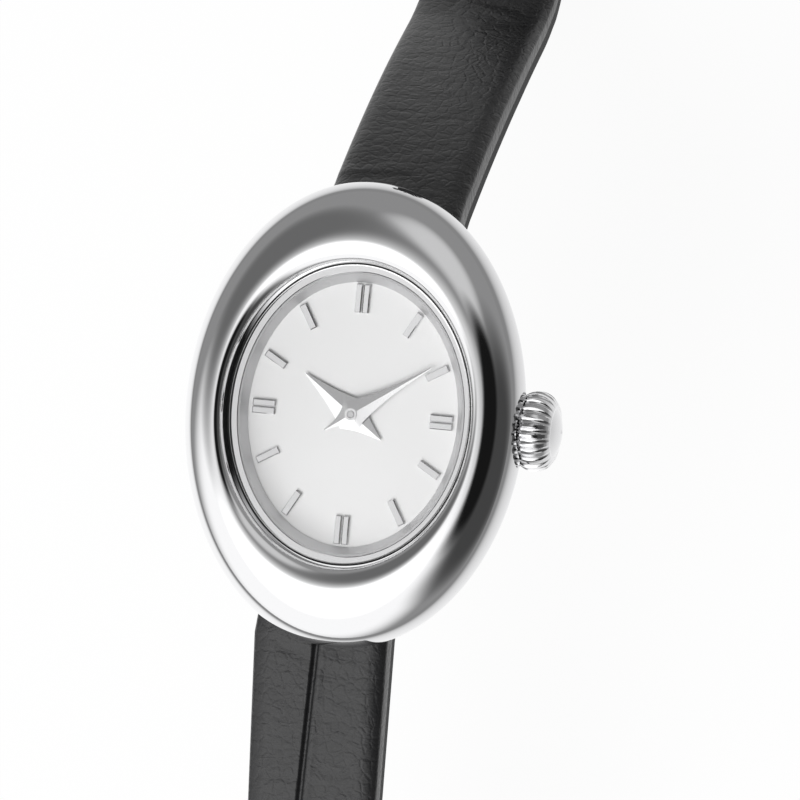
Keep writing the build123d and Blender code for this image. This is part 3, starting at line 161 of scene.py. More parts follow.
def vary(
    tree: NodeTree,
    pattern: Node,
    low: float,
    spread: float,
    window: Pair = (0.0, 1.0),
) -> Node:
    """Vary a value with a pattern.

    Args:
        tree: the material's tree.
        pattern: the pattern's node.
        low: the lowest value.
        spread: how far above it the value goes.
        window: the part of the pattern's range that is spread over the value's range.

    Returns:
        The value's node.
    """
    inputs = {"Value": pattern, "From Min": window[0], "From Max": window[1]}
    return add_node(tree, "MapRange", {**inputs, "To Min": low, "To Max": low + spread})


def emboss(
    tree: NodeTree,
    pattern: Node,
    depth: float,
    under: Node | None = None,
) -> Node:
    """Give a surface the relief of a pattern.

    Args:
        tree: the material's tree.
        pattern: the pattern's node.
        depth: the relief's depth in millimetres.
        under: the relief that it is added to, if any.

    Returns:
        The relief's node.
    """
    inputs = {"Strength": 1.0, "Distance": depth * MM, "Height": pattern}
    return add_node(tree, "Bump", inputs if under is None else {**inputs, "Normal": under})


def ray_is(tree: NodeTree, *kinds: str) -> NodeSocket:
    """Tell whether the ray that meets a surface is of one of some kinds.

    Args:
        tree: the material's tree.
        kinds: the names of the kinds.

    Returns:
        The socket that is 1 for such a ray, and 0 for others.
    """
    path = add_node(tree, "LightPath")
    found = path.outputs[kinds[0]]
    for kind in kinds[1:]:
        either = {0: found, 1: path.outputs[kind]}
        found = add_node(tree, "Math", either, operation="MAXIMUM").outputs["Value"]
    return found


@dataclass(frozen=True)
class Metal:
    """A bare metal surface: its colour, gloss, and the fine marks its making left.

    Attributes:
        name: what the metal is and how its surface was made.
        color: the colour of its reflection.
        roughness: the lowest roughness.
        spread: how much rougher the marks are.
        marks: how many marks lie in a millimetre along X, Y and Z.
        depth: the height of the marks in millimetres.
    """

    name: str
    color: str
    roughness: float
    spread: float
    marks: tuple[float, float, float]
    depth: float

    def build(self) -> Material:
        """Return the material."""
        material, tree = new_material(self.name)
        marks = noise(tree, millimetres(tree, self.marks))
        inputs = {
            "Base Color": linear(self.color),
            "Metallic": 1.0,
            "Roughness": vary(tree, marks, self.roughness, self.spread, window=(0.35, 0.75)),
            "Normal": emboss(tree, marks, self.depth),
        }
        add_node(tree, "OutputMaterial", {"Surface": add_node(tree, "BsdfPrincipled", inputs)})
        return material


@dataclass(frozen=True)
class Solid:
    """A plain coloured surface that isn't metal: lacquer, rubber, plastic or resin.

    Attributes:
        name: what it is and how its surface was made.
        color: the colour.
        shade: the colour of its faint unevenness.
        roughness: the lowest roughness.
        spread: how much the roughness varies.
        grain: how many grains lie in a millimetre.
        depth: the height of the grain in millimetres.
        ior: the index of refraction.
    """

    name: str
    color: str
    shade: str
    roughness: float
    spread: float
    grain: float
    depth: float
    ior: float = 1.5

    def build(self) -> Material:
        """Return the material."""
        material, tree = new_material(self.name)
        grain = noise(tree, millimetres(tree, (self.grain,) * 3), detail=3.0, roughness=0.55)
        colors = {"Factor": grain, "A": linear(self.color), "B": linear(self.shade)}
        inputs = {
            "Base Color": add_node(tree, "Mix", colors, data_type="RGBA"),
            "Roughness": vary(tree, grain, self.roughness, self.spread),
            "Normal": emboss(tree, grain, self.depth),
            "IOR": self.ior,
        }
        add_node(tree, "OutputMaterial", {"Surface": add_node(tree, "BsdfPrincipled", inputs)})
        return material


@dataclass(frozen=True)
class Crystal:
    """A clear polished crystal, through which light reaches what lies under it.

    Attributes:
        name: what it is and how its surface was made.
        color: the tint of what is seen through it.
        ior: the index of refraction.
    """

    name: str
    color: str
    ior: float

    def build(self) -> Material:
        """Return the material."""
        material, tree = new_material(self.name)
        color = linear(self.color)
        inputs = {"Base Color": color, "Roughness": 0.0, "IOR": self.ior}
        gloss = add_node(tree, "BsdfPrincipled", {**inputs, "Transmission Weight": 1.0})
        clear = add_node(tree, "BsdfTransparent", {"Color": color})
        lighting = ray_is(tree, "Is Shadow Ray", "Is Diffuse Ray", "Is Glossy Ray")
        both = add_node(tree, "MixShader", {"Fac": lighting, 1: gloss, 2: clear})
        add_node(tree, "OutputMaterial", {"Surface": both})
        return material


@dataclass(frozen=True)
class Leather:
    """Dyed leather with fine wrinkles, small flat cells and pores.

    Attributes:
        name: what it is and how its surface was made.
        color: the colour of the raised leather.
        hollow: the darker colour painted into the hollows of its wrinkles as painted shade.
        wrinkle: the distance between wrinkles in millimetres.
        wrinkle_depth: the depth of a wrinkle in millimetres.
        cell: the width of a cell of the grain in millimetres.
        cell_depth: the depth of the lines between cells in millimetres.
        pore_depth: the depth of a pore in millimetres.
        roughness: the lowest roughness.
        sheen: how strongly its wax shines, as a specular level.
    """

    name: str
    color: str
    hollow: str
    wrinkle: float
    wrinkle_depth: float
    cell: float
    cell_depth: float
    pore_depth: float
    roughness: float
    sheen: float

    def build(self) -> Material:
        """Return the material."""
        material, tree = new_material(self.name)
        place = add_node(tree, "UVMap", uv_map="Leather")
        # The wrinkles are longer across the strap than along it
        scale = (0.4 / self.wrinkle, 1 / self.wrinkle, 1.0)
        wrinkles = noise(
            tree, add_node(tree, "Mapping", {"Vector": place, "Scale": scale}), distortion=0.6
        )
        cells = add_node(
            tree,
            "TexVoronoi",
            {"Vector": place, "Scale": 1 / self.cell, "Randomness": 0.9},
            feature="DISTANCE_TO_EDGE",
        )
        lines = add_node(
            tree,
            "MapRange",
            {"Value": cells, "From Min": 0.0, "From Max": 0.2},
            interpolation_type="SMOOTHSTEP",
        )
        pores = noise(tree, place, scale=4 / self.cell)
        relief = emboss(tree, pores, self.pore_depth)
        relief = emboss(tree, lines, self.cell_depth, relief)
        relief = emboss(tree, wrinkles, self.wrinkle_depth, relief)
        # Painted shade: the wrinkles' hollows get the darker hollow colour, the raised leather its
        # own colour
        colors = {"Factor": wrinkles, "A": linear(self.hollow), "B": linear(self.color)}
        inputs = {
            "Base Color": add_node(tree, "Mix", colors, data_type="RGBA"),
            "Roughness": vary(tree, pores, self.roughness, spread=0.2),
            "Normal": relief,
            "IOR": 1.5,
            "Specular IOR Level": self.sheen,
        }
        add_node(tree, "OutputMaterial", {"Surface": add_node(tree, "BsdfPrincipled", inputs)})
        return material


class Finish(Enum):
    """The finishes of the watch, each with the record's material slot."""

    POLISHED_STEEL = (
        "polished_steel",
        # Stainless steel, mirror polished: sharp reflections, softened by hairlines from wear
        Metal("316L stainless steel, mirror polished", "#e9e9ea", 0.03, 0.05, (9, 9, 9), 0.0002),
    )
    SATIN_STEEL = (
        "satin_steel",
        # Stainless steel, brushed in rings: soft pale reflections with fine lines along the brush
        Metal("316L stainless steel, satin brushed", "#dcdcdd", 0.28, 0.14, (3, 30, 30), 0.002),
    )
    MATT_STEEL = (
        "satin_steel",
        # Stainless steel, blasted with fine beads: an even, matt silver grey
        Metal("316L stainless steel, bead blasted", "#e6e6e7", 0.55, 0.1, (20, 20, 20), 0.001),
    )
    BUFFED_STEEL = (
        "polished_steel",
        # Stainless steel, hobbed into flutes and buffed: bright, with slightly soft reflections
        Metal("316L stainless steel, fluted and buffed", "#e9e9ea", 0.11, 0.04, (9, 9, 9), 0.0002),
    )
    SATIN_HANDS = (
        "polished_steel",
        # Stainless steel, diamond cut and lightly lapped: soft but clear two-toned facets
        Metal("316L stainless steel, diamond cut", "#eeeeef", 0.18, 0.06, (30, 30, 30), 0.0002),
    )
    NICKEL_PLATE = (
        "nickel_plate",
        # Brass with matt nickel plate: a warm grey, finely grained
        Metal("brass, grained and nickel plated", "#cfccc4", 0.32, 0.12, (22, 22, 22), 0.002),
    )
    GILT_BRASS = (
        "gilt_brass",
        # Free-cutting brass, hobbed and polished: yellow, bright on the teeth
        Metal(
            "free-cutting brass, hobbed and polished", "#d9b566", 0.16, 0.12, (18, 18, 18), 0.001
        ),
    )
    COPPER_WIRE = (
        "copper_wire",
        # Enamelled copper wire, wound turn by turn: red-brown, with a line at each turn
        Metal("enamelled copper wire, wound", "#b8652f", 0.22, 0.2, (12, 1, 1), 0.01),
    )
    WHITE_DIAL = (
        "white_dial",
        # Brass dial with sprayed and baked matt lacquer: even white with the faintest grain
        Solid("dial lacquer, sprayed matt", "#f0f0f0", "#ececec", 0.5, 0.08, 25, 0.0004),
    )
    CLEAR_CRYSTAL = (
        "clear_crystal",
        # Synthetic sapphire, lapped and polished flat: clear, with a faint gloss
        Crystal("synthetic sapphire, polished", "#fdfdfd", 1.5),
    )
    BLACK_RUBBER = (
        "black_rubber",
        # Nitrile rubber, moulded: matt black
        Solid("nitrile rubber, moulded", "#141414", "#1b1b1b", 0.55, 0.1, 12, 0.001),
    )
    HOLDER_PLASTIC = (
        "holder_plastic",
        # Acetal, injection moulded: milky white, slightly glossy
        Solid("acetal, moulded", "#ebeae4", "#e4e3dc", 0.42, 0.1, 8, 0.001, 1.48),
    )
    BOARD_GREEN = (
        "board_green",
        # Glass-epoxy board with green solder mask: glossy, with the weave just showing
        Solid(
            "glass-epoxy board, solder masked", "#1d4a2c", "#18402a", 0.28, 0.12, 5, 0.004, 1.55
        ),
    )
    CHIP_BLACK = (
        "chip_black",
        # Epoxy resin, moulded over the chip: matt black
        Solid("epoxy resin, moulded", "#1a1a1a", "#222222", 0.5, 0.15, 14, 0.002, 1.55),
    )
    BLACK_LEATHER = (
        "black_leather",
        # Calf leather, drum dyed, plated and waxed: black with a soft sheen, fine cross wrinkles,
        # and the small flat cells of its grain
        Leather(
            # The second, darker colour is painted shade in the wrinkles' hollows
            "calf leather, dyed and waxed", "#2a2a2b", "#1c1c1d",
            wrinkle=1.1, wrinkle_depth=0.075, cell=0.75, cell_depth=0.011,
            pore_depth=0.012, roughness=0.22, sheen=0.5,
        ),
    )
    LINING_LEATHER = (
        "lining_leather",
        # Calf leather, dyed and left unwaxed: dull black with pores
        Leather(
            # The second, darker colour is painted shade in the wrinkles' hollows
            "lining calf, smooth dyed", "#232324", "#1b1b1c",
            wrinkle=1.6, wrinkle_depth=0.01, cell=0.5, cell_depth=0.003,
            pore_depth=0.008, roughness=0.55, sheen=0.5,
        ),
    )

    def __init__(self, slot: str, surface: Metal | Solid | Crystal | Leather) -> None:
        """Keep the record's slot and the surface that describes the finish."""
        self.slot = slot
        self.surface = surface

    def material(self) -> Material:
        """Return this finish's material, made once."""
        return bpy.data.materials.get(self.surface.name) or self.surface.build()


def dress(piece: Object, finish: Finish) -> None:
    """Give a piece one finish all over.

    Args:
        piece: the object.
        finish: the finish it gets.
    """
    piece.data.materials.clear()
    piece.data.materials.append(finish.material())
    for face in piece.data.polygons:
        face.material_index = 0


def dress_nodes(finish: Finish, *names: str) -> None:
    """Give CAD nodes one finish.

    Args:
        finish: the finish they get.
        names: the nodes.
    """
    for name in names:
        dress(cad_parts[name], finish)
        log.info("%s: %s", name, finish.surface.name)


def smooth_step(share: float) -> float:
    """Ease a share from 0 to 1."""
    share = min(max(share, 0.0), 1.0)
    return share * share * (3 - 2 * share)


def between(places: Sequence[Pair], place: float) -> float:
    """Read a value that is given at some places, with straight lines between them.

    Args:
        places: pairs of a place and its value, in order.
        place: where to read it.

    Returns:
        The value there.
    """
    if place <= places[0][0]:
        return places[0][1]
    for (start, low), (end, high) in zip(places, places[1:]):
        if place <= end:
            return low + (high - low) * (place - start) / (end - start)
    return places[-1][1]


def select_only(piece: Object) -> None:
    """Select one object, and make it the active one."""
    bpy.ops.object.select_all(action="DESELECT")
    piece.select_set(True)
    bpy.context.view_layer.objects.active = piece


def turn_faces_out(piece: Object) -> None:
    """Point the faces of a closed piece outwards."""
    select_only(piece)
    bpy.ops.object.mode_set(mode="EDIT")
    bpy.ops.mesh.select_all(action="SELECT")
    bpy.ops.mesh.normals_make_consistent(inside=False)
    bpy.ops.object.mode_set(mode="OBJECT")


def oval_ring(
    label: str, sections: Sequence[tuple[float, float, float]], sides: int = 192
) -> Object:
    """Draw an oval ring round the dial's centre, section corner by section corner.

    Args:
        label: the piece's name.
        sections: the half width, half length and height of each corner, in millimetres.
        sides: how many sides the oval has.

    Returns:
        The closed ring.
    """
    bpy.ops.object.select_all(action="DESELECT")
    across, along, height = sections[0]
    bpy.ops.mesh.primitive_circle_add(
        vertices=sides, radius=MM, location=(0, 0, height * MM), fill_type="NOTHING"
    )
    ring = bpy.context.object
    ring.name = label
    bpy.ops.object.mode_set(mode="EDIT")
    bpy.ops.mesh.select_all(action="SELECT")
    bpy.ops.transform.resize(value=(across, along, 1))
    for next_across, next_along, next_height in sections[1:]:
        bpy.ops.mesh.extrude_edges_move(
            TRANSFORM_OT_translate={"value": (0, 0, (next_height - height) * MM)}
        )
        bpy.ops.transform.resize(value=(next_across / across, next_along / along, 1))
        across, along, height = next_across, next_along, next_height
    bpy.ops.mesh.select_non_manifold()
    bpy.ops.mesh.bridge_edge_loops()
    bpy.ops.object.mode_set(mode="OBJECT")
    bpy.ops.object.transform_apply(location=True, rotation=False, scale=False)
    turn_faces_out(ring)
    bpy.ops.object.shade_smooth_by_angle(angle=math.radians(35))
    return ring


def rounded_block(size: Pair, corner: float, low: float, high: float) -> Object:
    """Make an upright block with rounded corners, centred on the dial's axis.

    Args:
        size: its width and length in millimetres.
        corner: the radius of its corners.
        low: the height of its bottom.
        high: the height of its top.

    Returns:
        The block.
    """
    bpy.ops.object.select_all(action="DESELECT")
    bpy.ops.mesh.primitive_plane_add(size=MM, location=(0, 0, low * MM))
    block = bpy.context.object
    block.scale = (*size, 1)
    bpy.ops.object.transform_apply(location=True, rotation=False, scale=True)
    bpy.ops.object.mode_set(mode="EDIT")
    bpy.ops.mesh.select_all(action="SELECT")
    bpy.ops.mesh.bevel(
        offset=corner * MM, offset_type="OFFSET", segments=24, affect="VERTICES"
    )
    bpy.ops.mesh.select_all(action="SELECT")
    bpy.ops.mesh.extrude_region_move(
        TRANSFORM_OT_translate={"value": (0, 0, (high - low) * MM)}
    )
    bpy.ops.object.mode_set(mode="OBJECT")
    turn_faces_out(block)
    return block


def add_cylinder(
    radius: float, depth: float, place: Sequence[float], sides: int, across: bool = False
) -> Object:
    """Add a cylinder.

    Args:
        radius: its radius.
        depth: its length.
        place: its centre.
        sides: how many sides stand for its round face.
        across: whether it lies across the watch, and isn't upright.

    Returns:
        The cylinder.
    """
    bpy.ops.object.select_all(action="DESELECT")
    bpy.ops.mesh.primitive_cylinder_add(
        vertices=sides,
        radius=radius,
        depth=depth,
        location=place,
        rotation=(0, math.pi / 2 if across else 0, 0),
    )
    return bpy.context.object


def add_box(size: Sequence[float], place: Sequence[float], unit: float = MM) -> Object:
    """Add a box.

    Args:
        size: its width, length and height.
        place: its centre.
        unit: what one of its size's and place's units is in the scene.

    Returns:
        The box.
    """
    bpy.ops.object.select_all(action="DESELECT")
    bpy.ops.mesh.primitive_cube_add(size=unit, location=[each * unit for each in place])
    box = bpy.context.object
    box.scale = size
    return box


def draw_sheet(
    label: str,
    columns: int,
    rows: int,
    point_at: Callable[[int, int], tuple[float, float, float]],
    depth: float,
) -> Object:
    """Draw a sheet on a grid, and extrude it downwards.

    Args:
        label: the piece's name.
        columns: how many faces lie side by side.
        rows: how many faces lie behind each other.
        point_at: gives the place of the grid's point at a column and a row.
        depth: how far down it is extruded.

    Returns:
        The extruded sheet.
    """
    bpy.ops.object.select_all(action="DESELECT")
    bpy.ops.mesh.primitive_grid_add(
        x_subdivisions=columns, y_subdivisions=rows, size=1, location=(0, 0, 0)
    )
    piece = bpy.context.object
    piece.name = label
    for vertex in piece.data.vertices:
        column = round((vertex.co.x + 0.5) * columns)
        vertex.co = point_at(column, round((vertex.co.y + 0.5) * rows))
    bpy.ops.object.mode_set(mode="EDIT")
    bpy.ops.mesh.select_all(action="SELECT")
    bpy.ops.mesh.extrude_region_move(TRANSFORM_OT_translate={"value": (0, 0, -depth)})
    bpy.ops.object.mode_set(mode="OBJECT")
    return piece


def map_leather(mesh: Mesh, flat: Sequence[Pair]) -> None:
    """Map a leather's grain, and drop the mesh's other maps.

    Args:
        mesh: the leather's mesh.
        flat: the place of each of its points on the flat leather, in millimetres.
    """
    layer = mesh.uv_layers.get("Leather") or mesh.uv_layers.new(name="Leather")
    for loop in mesh.loops:
        layer.data[loop.index].uv = flat[loop.vertex_index]
    for other in [each for each in mesh.uv_layers if each.name != "Leather"]:
        mesh.uv_layers.remove(other)


def cross_rod(radius: float, start: float, end: float, along: float, height: float) -> Object:
    """Make a round rod that lies across the watch.

    Args:
        radius: its radius in millimetres.
        start: the X of its first end.
        end: the X of its other end.
        along: its Y.
        height: its Z.

    Returns:
        The rod.
    """
    place = ((start + end) / 2 * MM, along * MM, height * MM)
    rod = add_cylinder(radius * MM, (end - start) * MM, place, sides=96, across=True)
    bpy.ops.object.transform_apply(location=True, rotation=True, scale=False)
    return rod


def finish_piece(piece: Object, finish: Finish, body: str, *nodes: str) -> None:
    """Dress a new piece, make it ride on its body and stand for its CAD nodes.

    Args:
        piece: the new piece.
        finish: the finish it gets.
        body: the body that it moves with.
        nodes: the CAD nodes that it replaces.
    """
    dress(piece, finish)
    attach(piece, body)
    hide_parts(*nodes)
    log.info("%s: %d faces, %s", piece.name, len(piece.data.polygons), finish.surface.name)


class Joinery(Enum):
    """How one shape works on another."""

    CUT = "DIFFERENCE"
    JOIN = "UNION"
    KEEP = "INTERSECT"


def work(piece: Object, tool: Object, how: Joinery = Joinery.CUT) -> None:
    """Cut a tool's shape out of a piece, join it on, or keep what lies in it, and remove the tool.

    Args:
        piece: the piece that is worked.
        tool: the shape that works it.
        how: what the shape does to the piece.
    """
    select_only(piece)
    step = piece.modifiers.new("worked shape", "BOOLEAN")
    step.operation = how.value
    step.solver = "EXACT"
    step.object = tool
    bpy.ops.object.modifier_apply(modifier=step.name)
    bpy.data.objects.remove(tool)


@dataclass
class Panel:
    """A soft panel of the studio that polished metal mirrors.

    Attributes:
        azimuth: its compass direction in degrees, clockwise from 12 o'clock.
        elevation: its height above the horizon in degrees.
        core: the half width within which it is even, in degrees.
        reach: the half width at which it has faded out, in degrees.
        light: its brightness.
    """

    azimuth: float
    elevation: float
    core: float
    reach: float
    light: float

    def direction(self) -> Vector:
        """Return the unit vector towards the panel."""
        turn = math.radians(self.azimuth)
        rise = math.radians(self.elevation)
        level = math.cos(rise)
        return Vector((level * math.sin(turn), level * math.cos(turn), math.sin(rise)))


@dataclass
class Studio:
    """A pale floor under a soft white light, with panels for the metal to mirror, and a pool of
    light painted on the floor for reflections.
    """

    floor_size: float = 4.0
    floor_color: str = "#f4f4f4"
    floor_show: float = 0.93
    # The floor's painted pool of light, seen only in reflections: its glow near and far, its
    # centre, and where it fades
    painted_pool_near: float = 1.1
    painted_pool_far: float = 0.28
    painted_pool_center: Pair = (-0.06, -0.03)
    painted_pool_edge: Pair = (0.02, 0.26)
    room_light: float = 0.38
    key_power: float = 4.3
    key_size: float = 0.5
    key_place: tuple[float, float, float] = (-0.3, -0.4, 0.65)
    seen_rays: tuple[str, str] = ("Is Camera Ray", "Is Transmission Ray")
    panels: tuple[Panel, ...] = (
        Panel(212, 40, 32, 60, 1.45),
        Panel(216, 62, 3, 24, 2.6),
        Panel(22, 56, 8, 26, 0.85),
        Panel(105, 33, 20, 48, 0.08),
        Panel(303, 50, 12, 32, 0.2),
        Panel(92, 66, 15, 25, 0.012),
    )

    def light_world(self) -> None:
        """Build the world: white behind the watch, and a room with soft panels that light it."""
        world = bpy.data.worlds.new("white studio")
        bpy.context.scene.world = world
        world.use_nodes = True
        tree = world.node_tree
        tree.nodes.clear()
        place = add_node(tree, "TexCoord").outputs["Generated"]
        light = add_node(tree, "Value").outputs[0]
        light.default_value = self.room_light
        for panel in self.panels:
            facing = {0: place, 1: panel.direction()}
            towards = add_node(tree, "VectorMath", facing, operation="DOT_PRODUCT")
            edges = {
                "Value": towards,
                "From Min": math.cos(math.radians(panel.reach)),
                "From Max": math.cos(math.radians(panel.core)),
            }
            share = add_node(tree, "MapRange", edges, interpolation_type="SMOOTHSTEP")
            mixed = {"Factor": share, "A": light, "B": panel.light}
            light = add_node(tree, "Mix", mixed, data_type="FLOAT")
        behind = {"Factor": ray_is(tree, *self.seen_rays), "A": light, "B": 1.0}
        seen = add_node(tree, "Mix", behind, data_type="FLOAT")
        glow = add_node(tree, "Background", {"Strength": seen})
        add_node(tree, "OutputWorld", {"Surface": glow})

    def lay_floor(self, height: float) -> None:
        """Lay the floor that the strap stands on, with a pool of light painted on it that only
        reflections see.

        Args:
            height: the floor's height in metres.
        """
        bpy.ops.object.select_all(action="DESELECT")
        bpy.ops.mesh.primitive_plane_add(size=self.floor_size, location=(0, 0, height))
        floor = bpy.context.object
        floor.name = "studio_floor"
        material, tree = new_material("backdrop paper, matt white")
        matt = add_node(tree, "BsdfDiffuse", {"Color": linear(self.floor_color)})
        white = add_node(tree, "Emission", {"Strength": 1.0})
        shown = {0: ray_is(tree, *self.seen_rays), 1: self.floor_show}
        share = add_node(tree, "Math", shown, operation="MULTIPLY")
        both = add_node(tree, "MixShader", {"Fac": share, 1: matt, 2: white})
        # Painted pool of light: for glossy rays the floor glows, brightest round the pool's centre
        # and dimmer far off
        place = add_node(tree, "TexCoord").outputs["Object"]
        pool = {0: place, 1: (*self.painted_pool_center, 0.0)}
        edges = {
            "Value": add_node(tree, "VectorMath", pool, operation="DISTANCE"),
            "From Min": self.painted_pool_edge[0],
            "From Max": self.painted_pool_edge[1],
            "To Min": self.painted_pool_near,
            "To Max": self.painted_pool_far,
        }
        painted_pool_light = add_node(tree, "MapRange", edges, interpolation_type="SMOOTHSTEP")
        # The painted pool of light, which reflections see in place of the lit floor
        room = add_node(tree, "Emission", {"Strength": painted_pool_light})
        mirrored = {"Fac": ray_is(tree, "Is Glossy Ray"), 1: both, 2: room}
        add_node(tree, "OutputMaterial", {"Surface": add_node(tree, "MixShader", mirrored)})
        floor.data.materials.append(material)
        floor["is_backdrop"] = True

    def hang_key_light(self) -> None:
        """Hang the large soft lamp that gives the faint shadows."""
        lamp = bpy.data.lights.new("key softbox", "AREA")
        lamp.shape = "SQUARE"
        lamp.size = self.key_size
        lamp.energy = self.key_power
        holder = bpy.data.objects.new("key softbox", lamp)
        bpy.context.scene.collection.objects.link(holder)
        holder.location = self.key_place
        holder.rotation_euler = (-Vector(self.key_place)).to_track_quat("-Z", "Y").to_euler()
        holder.visible_glossy = False


@dataclass
class PhotographCamera:
    """The camera, which looks at the dial from the crown's side."""

    yaw: float = 14.5
    roll: float = 5.2
    distance: float = 0.300
    focal_share: float = 0.657
    right_shift: float = 3.116 * MM
    up_shift: float = 1.007 * MM
    aim_height: float = 4.3 * MM

    def place(self) -> None:
        """Place the camera and make it the scene's."""
        turn = math.radians(self.yaw)
        roll = math.radians(self.roll)
        back = Vector((math.sin(turn), 0, math.cos(turn)))
        level = Vector((math.cos(turn), 0, -math.sin(turn)))
        upright = Vector((0, 1, 0))
        right = math.cos(roll) * level + math.sin(roll) * upright
        up = -math.sin(roll) * level + math.cos(roll) * upright
        lens = bpy.data.cameras.new("photograph")
        lens.sensor_width = 36.0
        lens.lens = self.focal_share * self.distance / MM
        lens.clip_start = 0.01
        lens.clip_end = 10.0
        camera = bpy.data.objects.new("photograph", lens)
        bpy.context.scene.collection.objects.link(camera)
        stand = Matrix((right, up, back)).transposed().to_4x4()
        stand.translation = (
            Vector((0, 0, self.aim_height))
            + self.right_shift * right
            + self.up_shift * up
            + self.distance * back
        )
        camera.matrix_world = stand
        bpy.context.scene.camera = camera


@dataclass
class OvalCase:
    """The case middle, its back, crystal and gaskets."""

    half_width: float = 12.0
    stretch: float = 4 / 3
    bottom: float = 0.7
    bottom_half: float = 10.2
    girdle: float = 4.3
    top: float = 7.1
    crest: Pair = (9.3, 11.9)
    bowl_floor: float = 5.9
    bowl: Pair = (8.72, 10.45)
    crystal_seat: Pair = (8.6, 10.35)
    crystal_seat_height: float = 5.2
    ring_seat: Pair = (8.0, 9.75)
    dial_seat: Pair = (7.7, 9.3)
    dial_seat_height: float = 4.3
    dial_back_height: float = 3.9
    cavity: Pair = (17.2, 18.6)
    cavity_corner: float = 6.0
    gasket_groove: float = 0.3
    gasket_groove_height: float = 1.05
    slot_width: float = 12.6
    slot_start: float = 10.1
    slot_ceiling: float = 2.95
    bar_distance: float = 11.6
    bar_height: float = 1.3
    lug_nose: float = 0.75
    lug_thickness: float = 0.7
    lug_root: float = 3.8
    lug_inset: float = 0.7
    pin_hole: float = 0.43
    pin_reach: float = 0.5
    crown_height: float = 3.1
    recess_place: float = 11.4
    recess_radius: float = 2.5
    tube_radius: float = 1.0
    profile_steps: int = 22
    bowl_pace: float = 1.4
    bowl_steepness: float = 0.45
    flank_curve: float = 1.5
    crystal_across: float = 8.48
    crystal_along: float = 10.23
    gasket_bottom: float = 5.22
    gasket_top: float = 5.86
    crystal_middle: float = 5.61
    crystal_thickness: float = 0.78
    crystal_edge: float = 0.1

    def build(self) -> None:
        """Build and dress the case."""
        middle = self.draw_middle()
        self.add_lugs(middle)
        self.cut_seats(middle)
        turn_faces_out(middle)
        bpy.ops.object.shade_smooth_by_angle(angle=math.radians(28))
        finish_piece(middle, Finish.POLISHED_STEEL, "case", "case_middle")
        dress_nodes(
            Finish.SATIN_STEEL, "case_back", "upper_spring_bar", "lower_spring_bar", "crown_tube"
        )
        dress_nodes(Finish.BLACK_RUBBER, "case_back_gasket")
        gasket = oval_ring(
            "crystal_gasket_ring",
            (
                (self.crystal_across, self.crystal_along, self.gasket_bottom),
                (self.crystal_across, self.crystal_along, self.gasket_top),
                (*self.crystal_seat, self.gasket_top),
                (*self.crystal_seat, self.gasket_bottom),
            ),
        )
        finish_piece(gasket, Finish.BLACK_RUBBER, "case", "crystal_gasket")
        self.build_crystal()

    def draw_middle(self) -> Object:
        """Draw the case middle: seats, the bowl round the dial, the domed bezel and the flank."""
        sections = [
            (*self.dial_seat, self.bottom),
            (*self.dial_seat, self.dial_seat_height),
            (*self.ring_seat, self.dial_seat_height),
            (*self.ring_seat, self.crystal_seat_height),
            (*self.crystal_seat, self.crystal_seat_height),
            (*self.crystal_seat, self.bowl_floor),
        ]
        steps = self.profile_steps
        rise = self.top - self.bowl_floor
        crest_across, crest_along = self.crest
        for step in range(steps):
            turn = math.pi / 2 * (step / steps) ** self.bowl_pace
            spread = 1 - math.cos(turn)
            across = self.bowl[0] + spread * (crest_across - self.bowl[0])
            along = self.bowl[1] + spread * (crest_along - self.bowl[1])
            height = self.bowl_floor + math.sin(turn) ** self.bowl_steepness * rise
            sections.append((across, along, height))
        for step in range(steps + 1):
            turn = math.pi / 2 * (1 - step / steps)
            spread = math.cos(turn)
            across = crest_across + spread * (self.half_width - crest_across)
            along = crest_along + spread * (self.half_width * self.stretch - crest_along)
            height = self.girdle + math.sin(turn) * (self.top - self.girdle)
            sections.append((across, along, height))
        for step in range(1, steps // 2 + 1):
            drop = step / (steps // 2)
            narrowing = 1 - drop**self.flank_curve
            across = self.bottom_half + (self.half_width - self.bottom_half) * narrowing
            height = self.girdle - drop * (self.girdle - self.bottom)
            sections.append((across, across * self.stretch, height))
        return oval_ring("case_middle_domed", sections, sides=256)

    def add_lugs(self, middle: Object) -> None:
        """Join the four hidden lugs to the case middle.

        Args:
            middle: the case middle.
        """
        for side in (1, -1):
            for end in (1, -1):
                start = side * self.slot_width / 2
                low, high = sorted((start, start + side * self.lug_thickness))
                along = end * self.bar_distance
                lug = cross_rod(self.lug_nose, low, high, along, self.bar_height)
                root = add_box(
                    (high - low, 2 * self.lug_nose, self.lug_root - self.bar_height),
                    ((low + high) / 2, along, (self.bar_height + self.lug_root) / 2),
                )
                work(lug, root, Joinery.JOIN)
                bound = add_cylinder(MM, 20 * MM, (0, 0, 0), sides=256)
                bound.scale = (
                    self.half_width - self.lug_inset,
                    self.half_width * self.stretch - self.lug_inset,
                    1,
                )
                work(lug, bound, Joinery.KEEP)
                work(middle, lug, Joinery.JOIN)

    def cut_seats(self, middle: Object) -> None:
        """Cut the space for the movement, the strap slots, and the crown's recess and hole.

        Args:
            middle: the case middle.
        """
        below = self.bottom - 1
        groove = 2 * self.gasket_groove
        width, length = self.cavity
        corner = self.cavity_corner
        work(middle, rounded_block(self.cavity, corner, below, self.dial_back_height))
        size = (width + groove, length + groove)
        corner += self.gasket_groove
        work(middle, rounded_block(size, corner, below, self.gasket_groove_height))
        reach = self.half_width * self.stretch
        pin_end = self.slot_width / 2 + self.pin_reach
        for end in (1, -1):
            slot = add_box(
                (self.slot_width, reach - self.slot_start, self.slot_ceiling - below),
                (0, end * (self.slot_start + reach) / 2, (self.slot_ceiling + below) / 2),
            )
            work(middle, slot)
            along = end * self.bar_distance
            work(middle, cross_rod(self.pin_hole, -pin_end, pin_end, along, self.bar_height))
        outside = self.half_width + 1
        crown = self.crown_height
        work(middle, cross_rod(self.recess_radius, self.recess_place, outside, 0, crown))
        work(middle, cross_rod(self.tube_radius, 0, outside, 0, crown))

